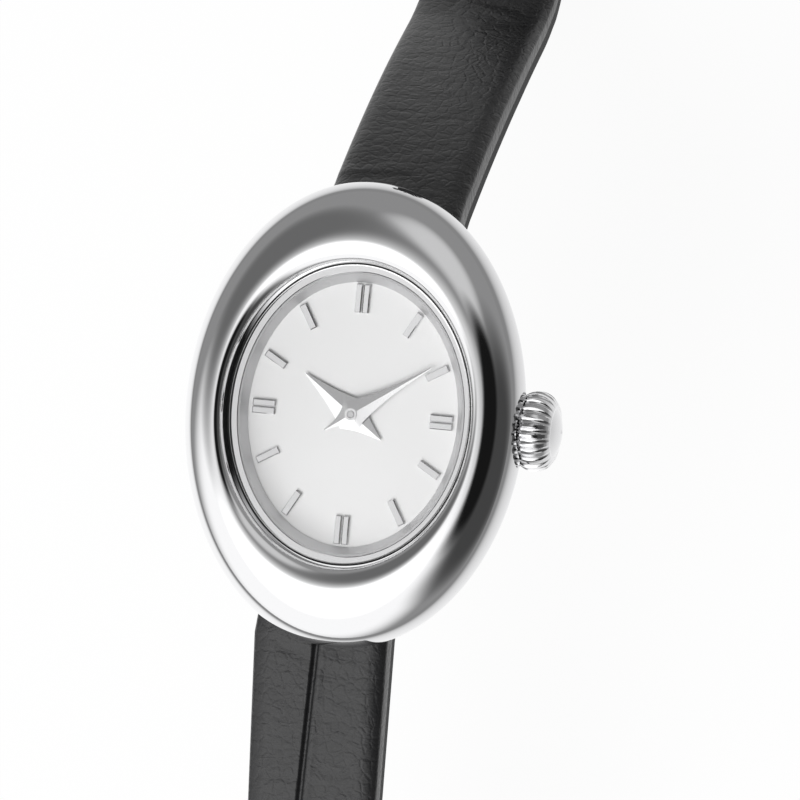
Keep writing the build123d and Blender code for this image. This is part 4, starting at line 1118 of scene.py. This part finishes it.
    def build_crystal(self) -> None:
        """Build the crystal: a flat oval disc, polished round its edge."""
        crystal = add_cylinder(1.0, 1.0, (0, 0, self.crystal_middle * MM), sides=192)
        crystal.name = "crystal_disc"
        size = (self.crystal_across, self.crystal_along, self.crystal_thickness)
        crystal.scale = [each * MM for each in size]
        bpy.ops.object.transform_apply(location=True, rotation=False, scale=True)
        edges = crystal.modifiers.new("polished edge", "BEVEL")
        edges.width = self.crystal_edge * MM
        edges.segments = 3
        bpy.ops.object.modifier_apply(modifier=edges.name)
        bpy.ops.object.shade_smooth_by_angle(angle=math.radians(30))
        finish_piece(crystal, Finish.CLEAR_CRYSTAL, "case", "crystal")


@dataclass
class Hand:
    """A slender hand with hollowed sides, whose two facets meet in a ridge.

    Attributes:
        name: the CAD node that it replaces.
        body: the body that it turns with.
        angle: where it points, in degrees clockwise from 12 o'clock.
        ends: the lengths of its tail and its blade in millimetres.
        half_width: its half width at the hub.
        bottom: the height of its underside.
        bore: the radius of its hole.
        straight: the share of its width that narrows evenly towards its ends.
        collar: the radius of the collar round its hole, if it has one.
    """

    name: str
    body: str
    angle: float
    ends: Pair
    half_width: float
    bottom: float
    bore: float
    straight: float
    collar: float = 0.0
    tip_half_width: float = 0.05
    edge_height: float = 0.06
    facet: float = 4.0
    collar_height: float = 0.23
    rows: tuple[int, int] = (12, 28)

    def half_width_at(self, place: float) -> float:
        """Return the half width at a distance from the hub; behind it is negative."""
        left = 1 - place / self.ends[1] if place > 0 else 1 + place / self.ends[0]
        share = self.straight * left + (1 - self.straight) * left**3
        return self.tip_half_width + (self.half_width - self.tip_half_width) * share

    def top_point(self, column: int, row: int) -> tuple[float, float, float]:
        """Return the place of a point of the facets, counted from the tail's left edge."""
        tail, blade = self.ends
        behind, ahead = self.rows
        side, row = column - 1, row - behind
        place = tail * row / behind if row < 0 else blade * row / ahead
        half = self.half_width_at(place)
        ridge = (1 - abs(side)) * half * math.tan(math.radians(self.facet))
        return side * half, place, self.bottom + self.edge_height + ridge

    def build(self) -> None:
        """Draw the hand on a grid, give it its ridge and thickness, bore it and turn it."""
        name = f"{self.name}_ridged"
        piece = draw_sheet(name, 2, sum(self.rows), self.top_point, depth=2 * self.bottom)
        for vertex in piece.data.vertices:
            vertex.co.z = max(vertex.co.z, self.bottom)
        turn_faces_out(piece)
        if self.collar:
            middle = (0, 0, self.bottom + self.collar_height / 2)
            collar = add_cylinder(self.collar, self.collar_height, middle, sides=64)
            work(piece, collar, Joinery.JOIN)
        work(piece, add_cylinder(self.bore, 1, (0, 0, self.bottom), sides=64))
        piece.data.transform(
            Matrix.Scale(MM, 4) @ Matrix.Rotation(-math.radians(self.angle), 4, "Z")
        )
        turn_faces_out(piece)
        bpy.ops.object.shade_smooth_by_angle(angle=math.radians(6))
        finish_piece(piece, Finish.SATIN_HANDS, self.body, self.name)


@dataclass
class DialAndHands:
    """The dial with its ring, batons and hands."""

    ring_outer: Pair = (7.95, 9.7)
    ring_opening: Pair = (7.35, 9.0)
    ring_bottom: float = 4.3
    ring_lip: float = 4.38
    ring_top: float = 5.16
    ring_land: float = 0.14

    def build(self) -> None:
        """Dress the dial, the ring, the batons and the hands."""
        dress_nodes(Finish.WHITE_DIAL, "dial")
        across, along = self.ring_outer
        inner_across, inner_along = self.ring_opening
        ring = oval_ring(
            "sloping_ring",
            (
                (inner_across, inner_along, self.ring_bottom),
                (inner_across, inner_along, self.ring_lip),
                (across - self.ring_land, along - self.ring_land, self.ring_top),
                (across, along, self.ring_top),
                (across, along, self.ring_bottom),
            ),
        )
        finish_piece(ring, Finish.MATT_STEEL, "case", "rehaut_ring")
        dress_nodes(Finish.POLISHED_STEEL, "double_batons", "single_batons")
        for hand in (
            Hand(
                "hour_hand", "hour_pipe", -54.3, (2.65, 4.3), 1.27,
                bottom=4.45, bore=0.56, straight=0.68,
            ),
            Hand(
                "minute_hand", "minute_arbor", 55.7, (2.13, 6.4), 1.03,
                bottom=4.78, bore=0.27, straight=0.32, collar=0.42,
            ),
        ):
            hand.build()


@dataclass
class Movement:
    """The quartz movement behind the dial."""

    def build(self) -> None:
        """Dress the movement's pieces."""
        dress_nodes(Finish.NICKEL_PLATE, "main_plate", "train_bridge", "oscillator_can")
        dress_nodes(Finish.GILT_BRASS, "hour_wheel", "minute_wheel", "setting_wheel")
        dress_nodes(Finish.GILT_BRASS, "center_wheel", "third_wheel", "intermediate_wheel")
        dress_nodes(Finish.SATIN_STEEL, "movement_screws", "battery", "battery_clamp")
        dress_nodes(Finish.SATIN_STEEL, "stator", "coil_core", "rotor", "sliding_pinion")
        dress_nodes(Finish.SATIN_STEEL, "setting_lever", "stem", "cannon_pinion")
        dress_nodes(Finish.COPPER_WIRE, "coil_winding")
        dress_nodes(Finish.HOLDER_PLASTIC, "movement_holder")
        dress_nodes(Finish.BOARD_GREEN, "circuit_board")
        dress_nodes(Finish.CHIP_BLACK, "control_chip")


@dataclass
class Crown:
    """The fluted crown with its domed cap and gasket."""

    def build(self) -> None:
        """Dress the crown."""
        dress_nodes(Finish.BUFFED_STEEL, "crown")
        dress_nodes(Finish.POLISHED_STEEL, "crown_cap")
        dress_nodes(Finish.BLACK_RUBBER, "crown_gasket")


@dataclass
class StrapPath:
    """The curve that a strap half follows from its spring bar, seen from the side.

    Attributes:
        side: 1 for the half at 12 o'clock, -1 for the half at 6 o'clock.
        dip: the angle below the horizon at which it leaves the bar, in degrees.
        runs: the length of each run in millimetres and its turn in degrees.
        bar_distance: the bar's distance from the dial's centre in millimetres.
        bar_height: the bar's height in millimetres.
    """

    side: int
    dip: float
    runs: tuple[Pair, ...]
    bar_distance: float = 11.6
    bar_height: float = 1.3

    def length(self) -> float:
        """Return the strap half's length in millimetres."""
        return sum(length for length, turn in self.runs)

    def at(self, distance: float) -> tuple[float, float, float]:
        """Follow the path.

        Args:
            distance: how far along the path, in millimetres; past either end it goes on straight.

        Returns:
            The run and the drop in millimetres, and the dip in radians.
        """
        dip = math.radians(self.dip)
        run = drop = 0.0
        if distance < 0:
            return distance * math.cos(dip), distance * math.sin(dip), dip
        for length, turn in self.runs:
            step = min(distance, length)
            distance -= step
            if turn:
                bend = math.radians(turn)
                radius = length / bend
                new_dip = dip + bend * step / length
                run += radius * (math.sin(new_dip) - math.sin(dip))
                drop += radius * (math.cos(dip) - math.cos(new_dip))
                dip = new_dip
            else:
                run += step * math.cos(dip)
                drop += step * math.sin(dip)
        return run + distance * math.cos(dip), drop + distance * math.sin(dip), dip

    def point(self, across: float, distance: float, offset: float) -> Vector:
        """Place a point of the strap.

        Args:
            across: its X in millimetres.
            distance: how far along the path it lies, in millimetres.
            offset: how far outside the path it lies, in millimetres.

        Returns:
            The point in metres.
        """
        run, drop, dip = self.at(distance)
        along = self.side * (self.bar_distance + run + offset * math.sin(dip))
        return MM * Vector((across, along, self.bar_height - drop + offset * math.cos(dip)))


@dataclass
class Crease:
    """A soft fold across the leather.

    Attributes:
        place: how far along the strap it crosses the middle, in millimetres.
        slant: how far along it runs for each millimetre across.
        width: the half width of the fold in millimetres.
        rise: its height in millimetres; a hollow is negative.
        start: where it begins across the strap, in millimetres from the middle.
        end: where it ends across the strap.
    """

    place: float
    slant: float
    width: float
    rise: float
    start: float = -6.0
    end: float = 6.0

    def height(self, across: float, distance: float) -> float:
        """Return the fold's height at a point of the leather, in millimetres."""
        off = (distance - self.place - self.slant * across) / self.width
        if abs(off) > 3:
            return 0.0
        fade = smooth_step(across - self.start) * smooth_step(self.end - across)
        return self.rise * math.exp(-off * off) * fade


@dataclass
class StrapHalf:
    """One half of the strap: the outer leather, folded round its bars, and the lining.

    Each leather is cut straight first, with X across, Y along and Z through it in
    millimetres from its spring bar, and is then bent along the strap's path.
    """

    name: str
    body: str
    path: StrapPath
    sway: tuple[Pair, ...]
    widths: tuple[Pair, ...]
    creases: tuple[Crease, ...]
    groove: tuple[Pair, ...] = ((0, 0.0),)
    groove_depths: tuple[Pair, ...] = ((0, 0.0),)
    buckled: bool = False
    holes: tuple[float, ...] = ()
    hole_radius: float = 0.85
    seam: float = -0.45
    lining_thickness: float = 0.8
    case_thickness: float = 1.7
    end_thickness: float = 1.1
    taper_length: float = 40.0
    shoulder_run: float = 1.5
    shoulder_drop: float = 0.62
    groove_reach: float = 0.19
    ridge_share: float = 0.14
    ridge_place: float = 2.6
    ridge_spread: float = 1.4
    fold_trim: float = 0.01
    lining_inset: float = 0.2
    bar_fold: float = 1.25
    bar_bore: float = 0.85
    buckle_fold: float = 0.95
    buckle_bore: float = 0.61
    slot_width: float = 1.7
    slot_length: float = 2.6
    lining_gap: float = 0.05
    row_length: float = 0.35

    def half_width(self, distance: float) -> float:
        """Return the half width at a distance along the strap, in millimetres."""
        return between(self.widths, distance) / 2

    def top_level(self, distance: float) -> float:
        """Return the level of the outer face, in millimetres."""
        blend = smooth_step(distance / self.taper_length)
        return self.seam + self.case_thickness + (self.end_thickness - self.case_thickness) * blend

    def top_faces(self, distance: float) -> Pair:
        """Return the levels of the outer leather's faces, rounded where it folds round a bar."""
        upper, lower = self.top_level(distance), self.seam
        folds = [(0.0, 0.0, self.bar_fold, distance < 0)]
        if self.buckled:
            end = self.path.length()
            middle = self.seam + self.end_thickness - self.buckle_fold
            folds.append((end, middle, self.buckle_fold, distance > end))
        for place, middle, radius, beyond in folds:
            reach = radius**2 - (distance - place) ** 2
            if reach >= 0:
                lower = min(lower, middle - math.sqrt(reach))
                if beyond:
                    upper = middle + math.sqrt(reach)
        return upper, lower

    def lining_faces(self, distance: float) -> Pair:
        """Return the levels of the lining's faces."""
        return self.seam, self.seam - self.lining_thickness

    def relief(self, across: float, distance: float) -> float:
        """Return the height of the outer face over its even level, in millimetres."""
        edge = self.half_width(distance) - abs(across)
        if not self.buckled:
            edge = min(edge, self.path.length() - distance)
        inset = min(1.0, max(0.0, 1 - edge / self.shoulder_run))
        height = -self.shoulder_drop * (1 - math.sqrt(1 - inset * inset))
        off = (across - between(self.groove, distance)) / self.groove_reach
        depth = between(self.groove_depths, distance)
        ridge = math.exp(-((off - self.ridge_place) ** 2) / self.ridge_spread)
        height += depth * (self.ridge_share * ridge - math.exp(-(off**4)))
        return height + sum(crease.height(across, distance) for crease in self.creases)

    def columns(self) -> list[float]:
        """Return where the columns lie, from the left edge at -1 over the groove at 0 to 1."""
        side = (0, 0.006, 0.02, 0.042, 0.07, 0.105, 0.145, 0.19, 0.24, 0.3, 0.36, 0.43, 0.5, 0.57)
        side += (0.64, 0.7, 0.76, 0.81, 0.85, 0.88, 0.905, 0.925, 0.94, 0.952, 0.963, 0.973, 0.985)
        return [share - 1 for share in side] + [0.0] + [1 - share for share in reversed(side)]

    def rows(self, start: float, end: float) -> list[float]:
        """Return where the rows lie along a leather, closer together at its ends."""
        fine = (0, 0.03, 0.1, 0.2, 0.34, 0.5, 0.7, 0.95, 1.2, 1.5, 1.8, 2.1, 2.4)
        count = round((end - start - 2 * fine[-1]) / self.row_length)
        step = (end - start - 2 * fine[-1]) / count
        middle = [start + fine[-1] + step * number for number in range(1, count)]
        return (
            [start + each for each in fine] + middle + [end - each for each in reversed(fine)]
        )

    def cut_straight(
        self,
        label: str,
        ends: Pair,
        faces: Callable[[float], Pair],
        worked: bool,
    ) -> Object:
        """Cut one leather straight, with its thickness.

        Args:
            label: the piece's name.
            ends: where it begins and ends along the strap.
            faces: the levels of its two faces at a distance along the strap.
            worked: whether its face has the shoulders, groove and creases.

        Returns:
            The straight leather in millimetres.
        """
        columns = self.columns()
        rows = self.rows(*ends)

        def point_at(column: int, row: int) -> tuple[float, float, float]:
            """Return the place of a point of the flat leather."""
            share, distance = columns[column], rows[row]
            middle = between(self.groove, distance)
            half = self.half_width(distance)
            room = half - middle if share > 0 else half + middle
            return middle + share * room, distance, 0.0

        piece = draw_sheet(label, len(columns) - 1, len(rows) - 1, point_at, depth=1)
        for vertex in piece.data.vertices:
            across, distance, depth = vertex.co
            upper, lower = faces(distance)
            if depth < -0.5:
                vertex.co.z = lower
            else:
                share = min(1.0, (upper - lower) / self.case_thickness) if worked else 0.0
                vertex.co.z = upper + self.relief(across, distance) * share
        turn_faces_out(piece)
        return piece

    def cut_openings(self, piece: Object, bar_radius: float, buckle_radius: float) -> None:
        """Bore a straight leather for its bars, slot it for the tongue and punch its holes.

        Args:
            piece: the straight leather.
            bar_radius: the radius of the bore round the spring bar.
            buckle_radius: the radius of the bore round the buckle's bar.
        """
        end = self.path.length()
        bores = [(0.0, 0.0, bar_radius)]
        if self.buckled:
            bores.append((end, self.seam + self.end_thickness - self.buckle_fold, buckle_radius))
        for distance, level, radius in bores:
            work(piece, add_cylinder(radius, 20, (0, distance, level), sides=48, across=True))
        if self.buckled:
            slot = add_box((self.slot_width, 2 * self.slot_length, 8), (0, end, 0), unit=1)
            bpy.ops.object.transform_apply(location=False, rotation=False, scale=True)
            work(piece, slot)
        punches = [
            add_cylinder(self.hole_radius, 6, (0, distance, 0), sides=40)
            for distance in self.holes
        ]
        if punches:
            for punch in punches:
                punch.select_set(True)
            bpy.ops.object.join()
            work(piece, bpy.context.object)

    def bend(self, piece: Object) -> None:
        """Bend a straight leather along the strap's path, and map its grain.

        Args:
            piece: the straight leather in millimetres.
        """
        flat = []
        for vertex in piece.data.vertices:
            across, distance, level = vertex.co
            side = math.copysign(max(0.0, self.top_level(distance) - level), across)
            flat.append((across + side, distance))
            middle = between(self.sway, distance)
            vertex.co = self.path.point(middle + across, distance, level)
        map_leather(piece.data, flat)
        turn_faces_out(piece)
        bpy.ops.object.shade_smooth_by_angle(angle=math.radians(42))

    def build(self) -> None:
        """Build and dress both leathers."""
        end = self.path.length()
        trim = self.fold_trim
        ends = (trim - self.bar_fold, end + self.buckle_fold - trim if self.buckled else end)
        outer = self.cut_straight(f"{self.name}_outer_leather", ends, self.top_faces, True)
        self.cut_openings(outer, self.bar_bore, self.buckle_bore)
        self.bend(outer)
        finish_piece(outer, Finish.BLACK_LEATHER, self.body, f"{self.name}_strap_top")
        gap = self.lining_gap
        ends = (self.lining_inset, end - self.lining_inset if self.buckled else end)
        lining = self.cut_straight(f"{self.name}_lining", ends, self.lining_faces, False)
        self.cut_openings(lining, self.bar_fold + gap, self.buckle_fold + gap)
        self.bend(lining)
        finish_piece(lining, Finish.LINING_LEATHER, self.body, f"{self.name}_strap_lining")


@dataclass
class Keeper:
    """A leather loop that holds the strap's end down."""

    name: str
    body: str
    place: float
    middle: Pair = (0.5, -26.761)
    width: float = 11.7
    height: float = 5.75
    length: float = 3.0
    wall: float = 0.8
    corner: float = 1.5
    edge: float = 0.22
    grain_slant: float = 0.7

    def build(self) -> None:
        """Build the loop as a rounded frame drawn out along the strap, and dress it."""
        bpy.ops.object.select_all(action="DESELECT")
        bpy.ops.mesh.primitive_plane_add(
            size=1, location=(0, 0, 0), rotation=(math.pi / 2, 0, 0)
        )
        piece = bpy.context.object
        piece.name = f"{self.name}_loop"
        piece.scale = (self.width * MM, self.height * MM, 1)
        bpy.ops.object.transform_apply(location=False, rotation=True, scale=True)
        bpy.ops.object.mode_set(mode="EDIT")
        bpy.ops.mesh.select_all(action="SELECT")
        bpy.ops.mesh.bevel(
            offset=self.corner * MM, offset_type="OFFSET", segments=10, affect="VERTICES"
        )
        bpy.ops.mesh.select_all(action="SELECT")
        bpy.ops.mesh.inset(thickness=self.wall * MM)
        bpy.ops.mesh.delete(type="FACE")
        bpy.ops.mesh.select_all(action="SELECT")
        bpy.ops.mesh.extrude_region_move(
            TRANSFORM_OT_translate={"value": (0, self.length * MM, 0)}
        )
        bpy.ops.object.mode_set(mode="OBJECT")
        across, up = self.middle
        place = Vector((across, self.place - self.length / 2, up)) * MM
        for vertex in piece.data.vertices:
            vertex.co += place
        turn_faces_out(piece)
        soften = piece.modifiers.new("rolled edges", "BEVEL")
        soften.width = self.edge * MM
        soften.segments = 4
        soften.angle_limit = math.radians(50)
        bpy.ops.object.modifier_apply(modifier=soften.name)
        bpy.ops.object.shade_smooth_by_angle(angle=math.radians(40))
        flat = []
        for vertex in piece.data.vertices:
            x, y, z = vertex.co / MM
            flat.append((x + z, y + self.grain_slant * z))
        map_leather(piece.data, flat)
        finish_piece(piece, Finish.BLACK_LEATHER, self.body, self.name)


@dataclass
class Buckle:
    """The pin buckle and the two keepers."""

    fixed_place: float = 63.47
    sliding_place: float = 55.17

    def build(self) -> None:
        """Dress the buckle and build the keepers."""
        dress_nodes(Finish.POLISHED_STEEL, "buckle_frame", "buckle_bar", "buckle_tongue")
        Keeper("fixed_keeper", "upper_strap", self.fixed_place).build()
        Keeper("sliding_keeper", "moving_keeper", self.sliding_place).build()


def main() -> None:
    """Build the studio, then each sub-assembly in order."""
    logging.basicConfig(level=logging.INFO, format="%(name)s: %(message)s")
    bpy.context.scene.view_settings.view_transform = "Standard"
    cad_box = [list(corner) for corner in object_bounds()]
    floor_height = cad_box[0][2]
    studio = Studio()
    studio.light_world()
    studio.lay_floor(floor_height)
    studio.hang_key_light()
    PhotographCamera().place()
    OvalCase().build()
    DialAndHands().build()
    Movement().build()
    Crown().build()
    heel = 56.0
    upper = StrapPath(
        side=1,
        dip=45.0,
        runs=((27.0, 11.0), (18.0 * math.radians(heel), -heel), (24.0, 0.0)),
    )
    StrapHalf(
        "upper",
        "upper_strap",
        upper,
        sway=((0, 0.4), (5, 0.15), (30, 0.1), (46, 0.5)),
        widths=((0, 9.6), (6, 9.8), (20, 10.1), (31, 10.2), (42, 9.0), (60, 8.0)),
        creases=(
            Crease(29.3, -0.36, 0.5, 0.06, -2.5, 3.6),
            Crease(30.3, -0.36, 0.4, -0.04, -2.5, 3.6),
            Crease(7.2, 0.1, 0.28, 0.035, -6.0, 0.8),
            Crease(6.3, 0.14, 0.22, -0.03, -6.0, -0.4),
            Crease(5.5, 0.08, 0.3, 0.03, -6.0, 0.4),
        ),
        buckled=True,
    ).build()
    bend = 47.918
    lower = StrapPath(
        side=-1,
        dip=6.5,
        runs=(
            (17.0, 0.0),
            (bend * math.radians(38.5), 38.5),
            (bend * math.radians(45.0), -45.0),
            (21.0, 0.0),
        ),
    )
    tip = lower.length()
    StrapHalf(
        "lower",
        "lower_strap",
        lower,
        sway=((1, -1.4), (4, -1.7), (30, -1.7), (46, -1.4)),
        widths=(
            (1, 9.4),
            (4, 9.6),
            (28, 8.8),
            (tip - 7.2, 8.0),
            (tip - 5.6, 7.72),
            (tip - 4.4, 7.0),
            (tip - 1.6, 4.2),
            (tip - 0.9, 3.4),
            (tip - 0.45, 2.6),
            (tip - 0.15, 1.7),
            (tip, 0.9),
        ),
        groove=((-2, 0.0), (4.7, -0.19), (15.1, -0.76), (22, -0.95), (30, -0.5), (38, 0.0)),
        groove_depths=((0, 0.0), (2, 0.3), (18, 0.3), (30, 0.12), (37, 0.0)),
        creases=(
            Crease(4.7, 0.37, 0.35, 0.07, -3.6, 0.2),
            Crease(5.6, 0.37, 0.3, -0.05, -3.4, 0.2),
            Crease(5.5, 0.0, 0.32, 0.08, -0.2, 3.2),
            Crease(6.1, 0.03, 0.25, -0.05, -0.2, 3.4),
        ),
        holes=tuple(tip - 16.0 - 6.0 * count for count in range(7)),
    ).build()
    Buckle().build()


if __name__ == "__main__":
    main()
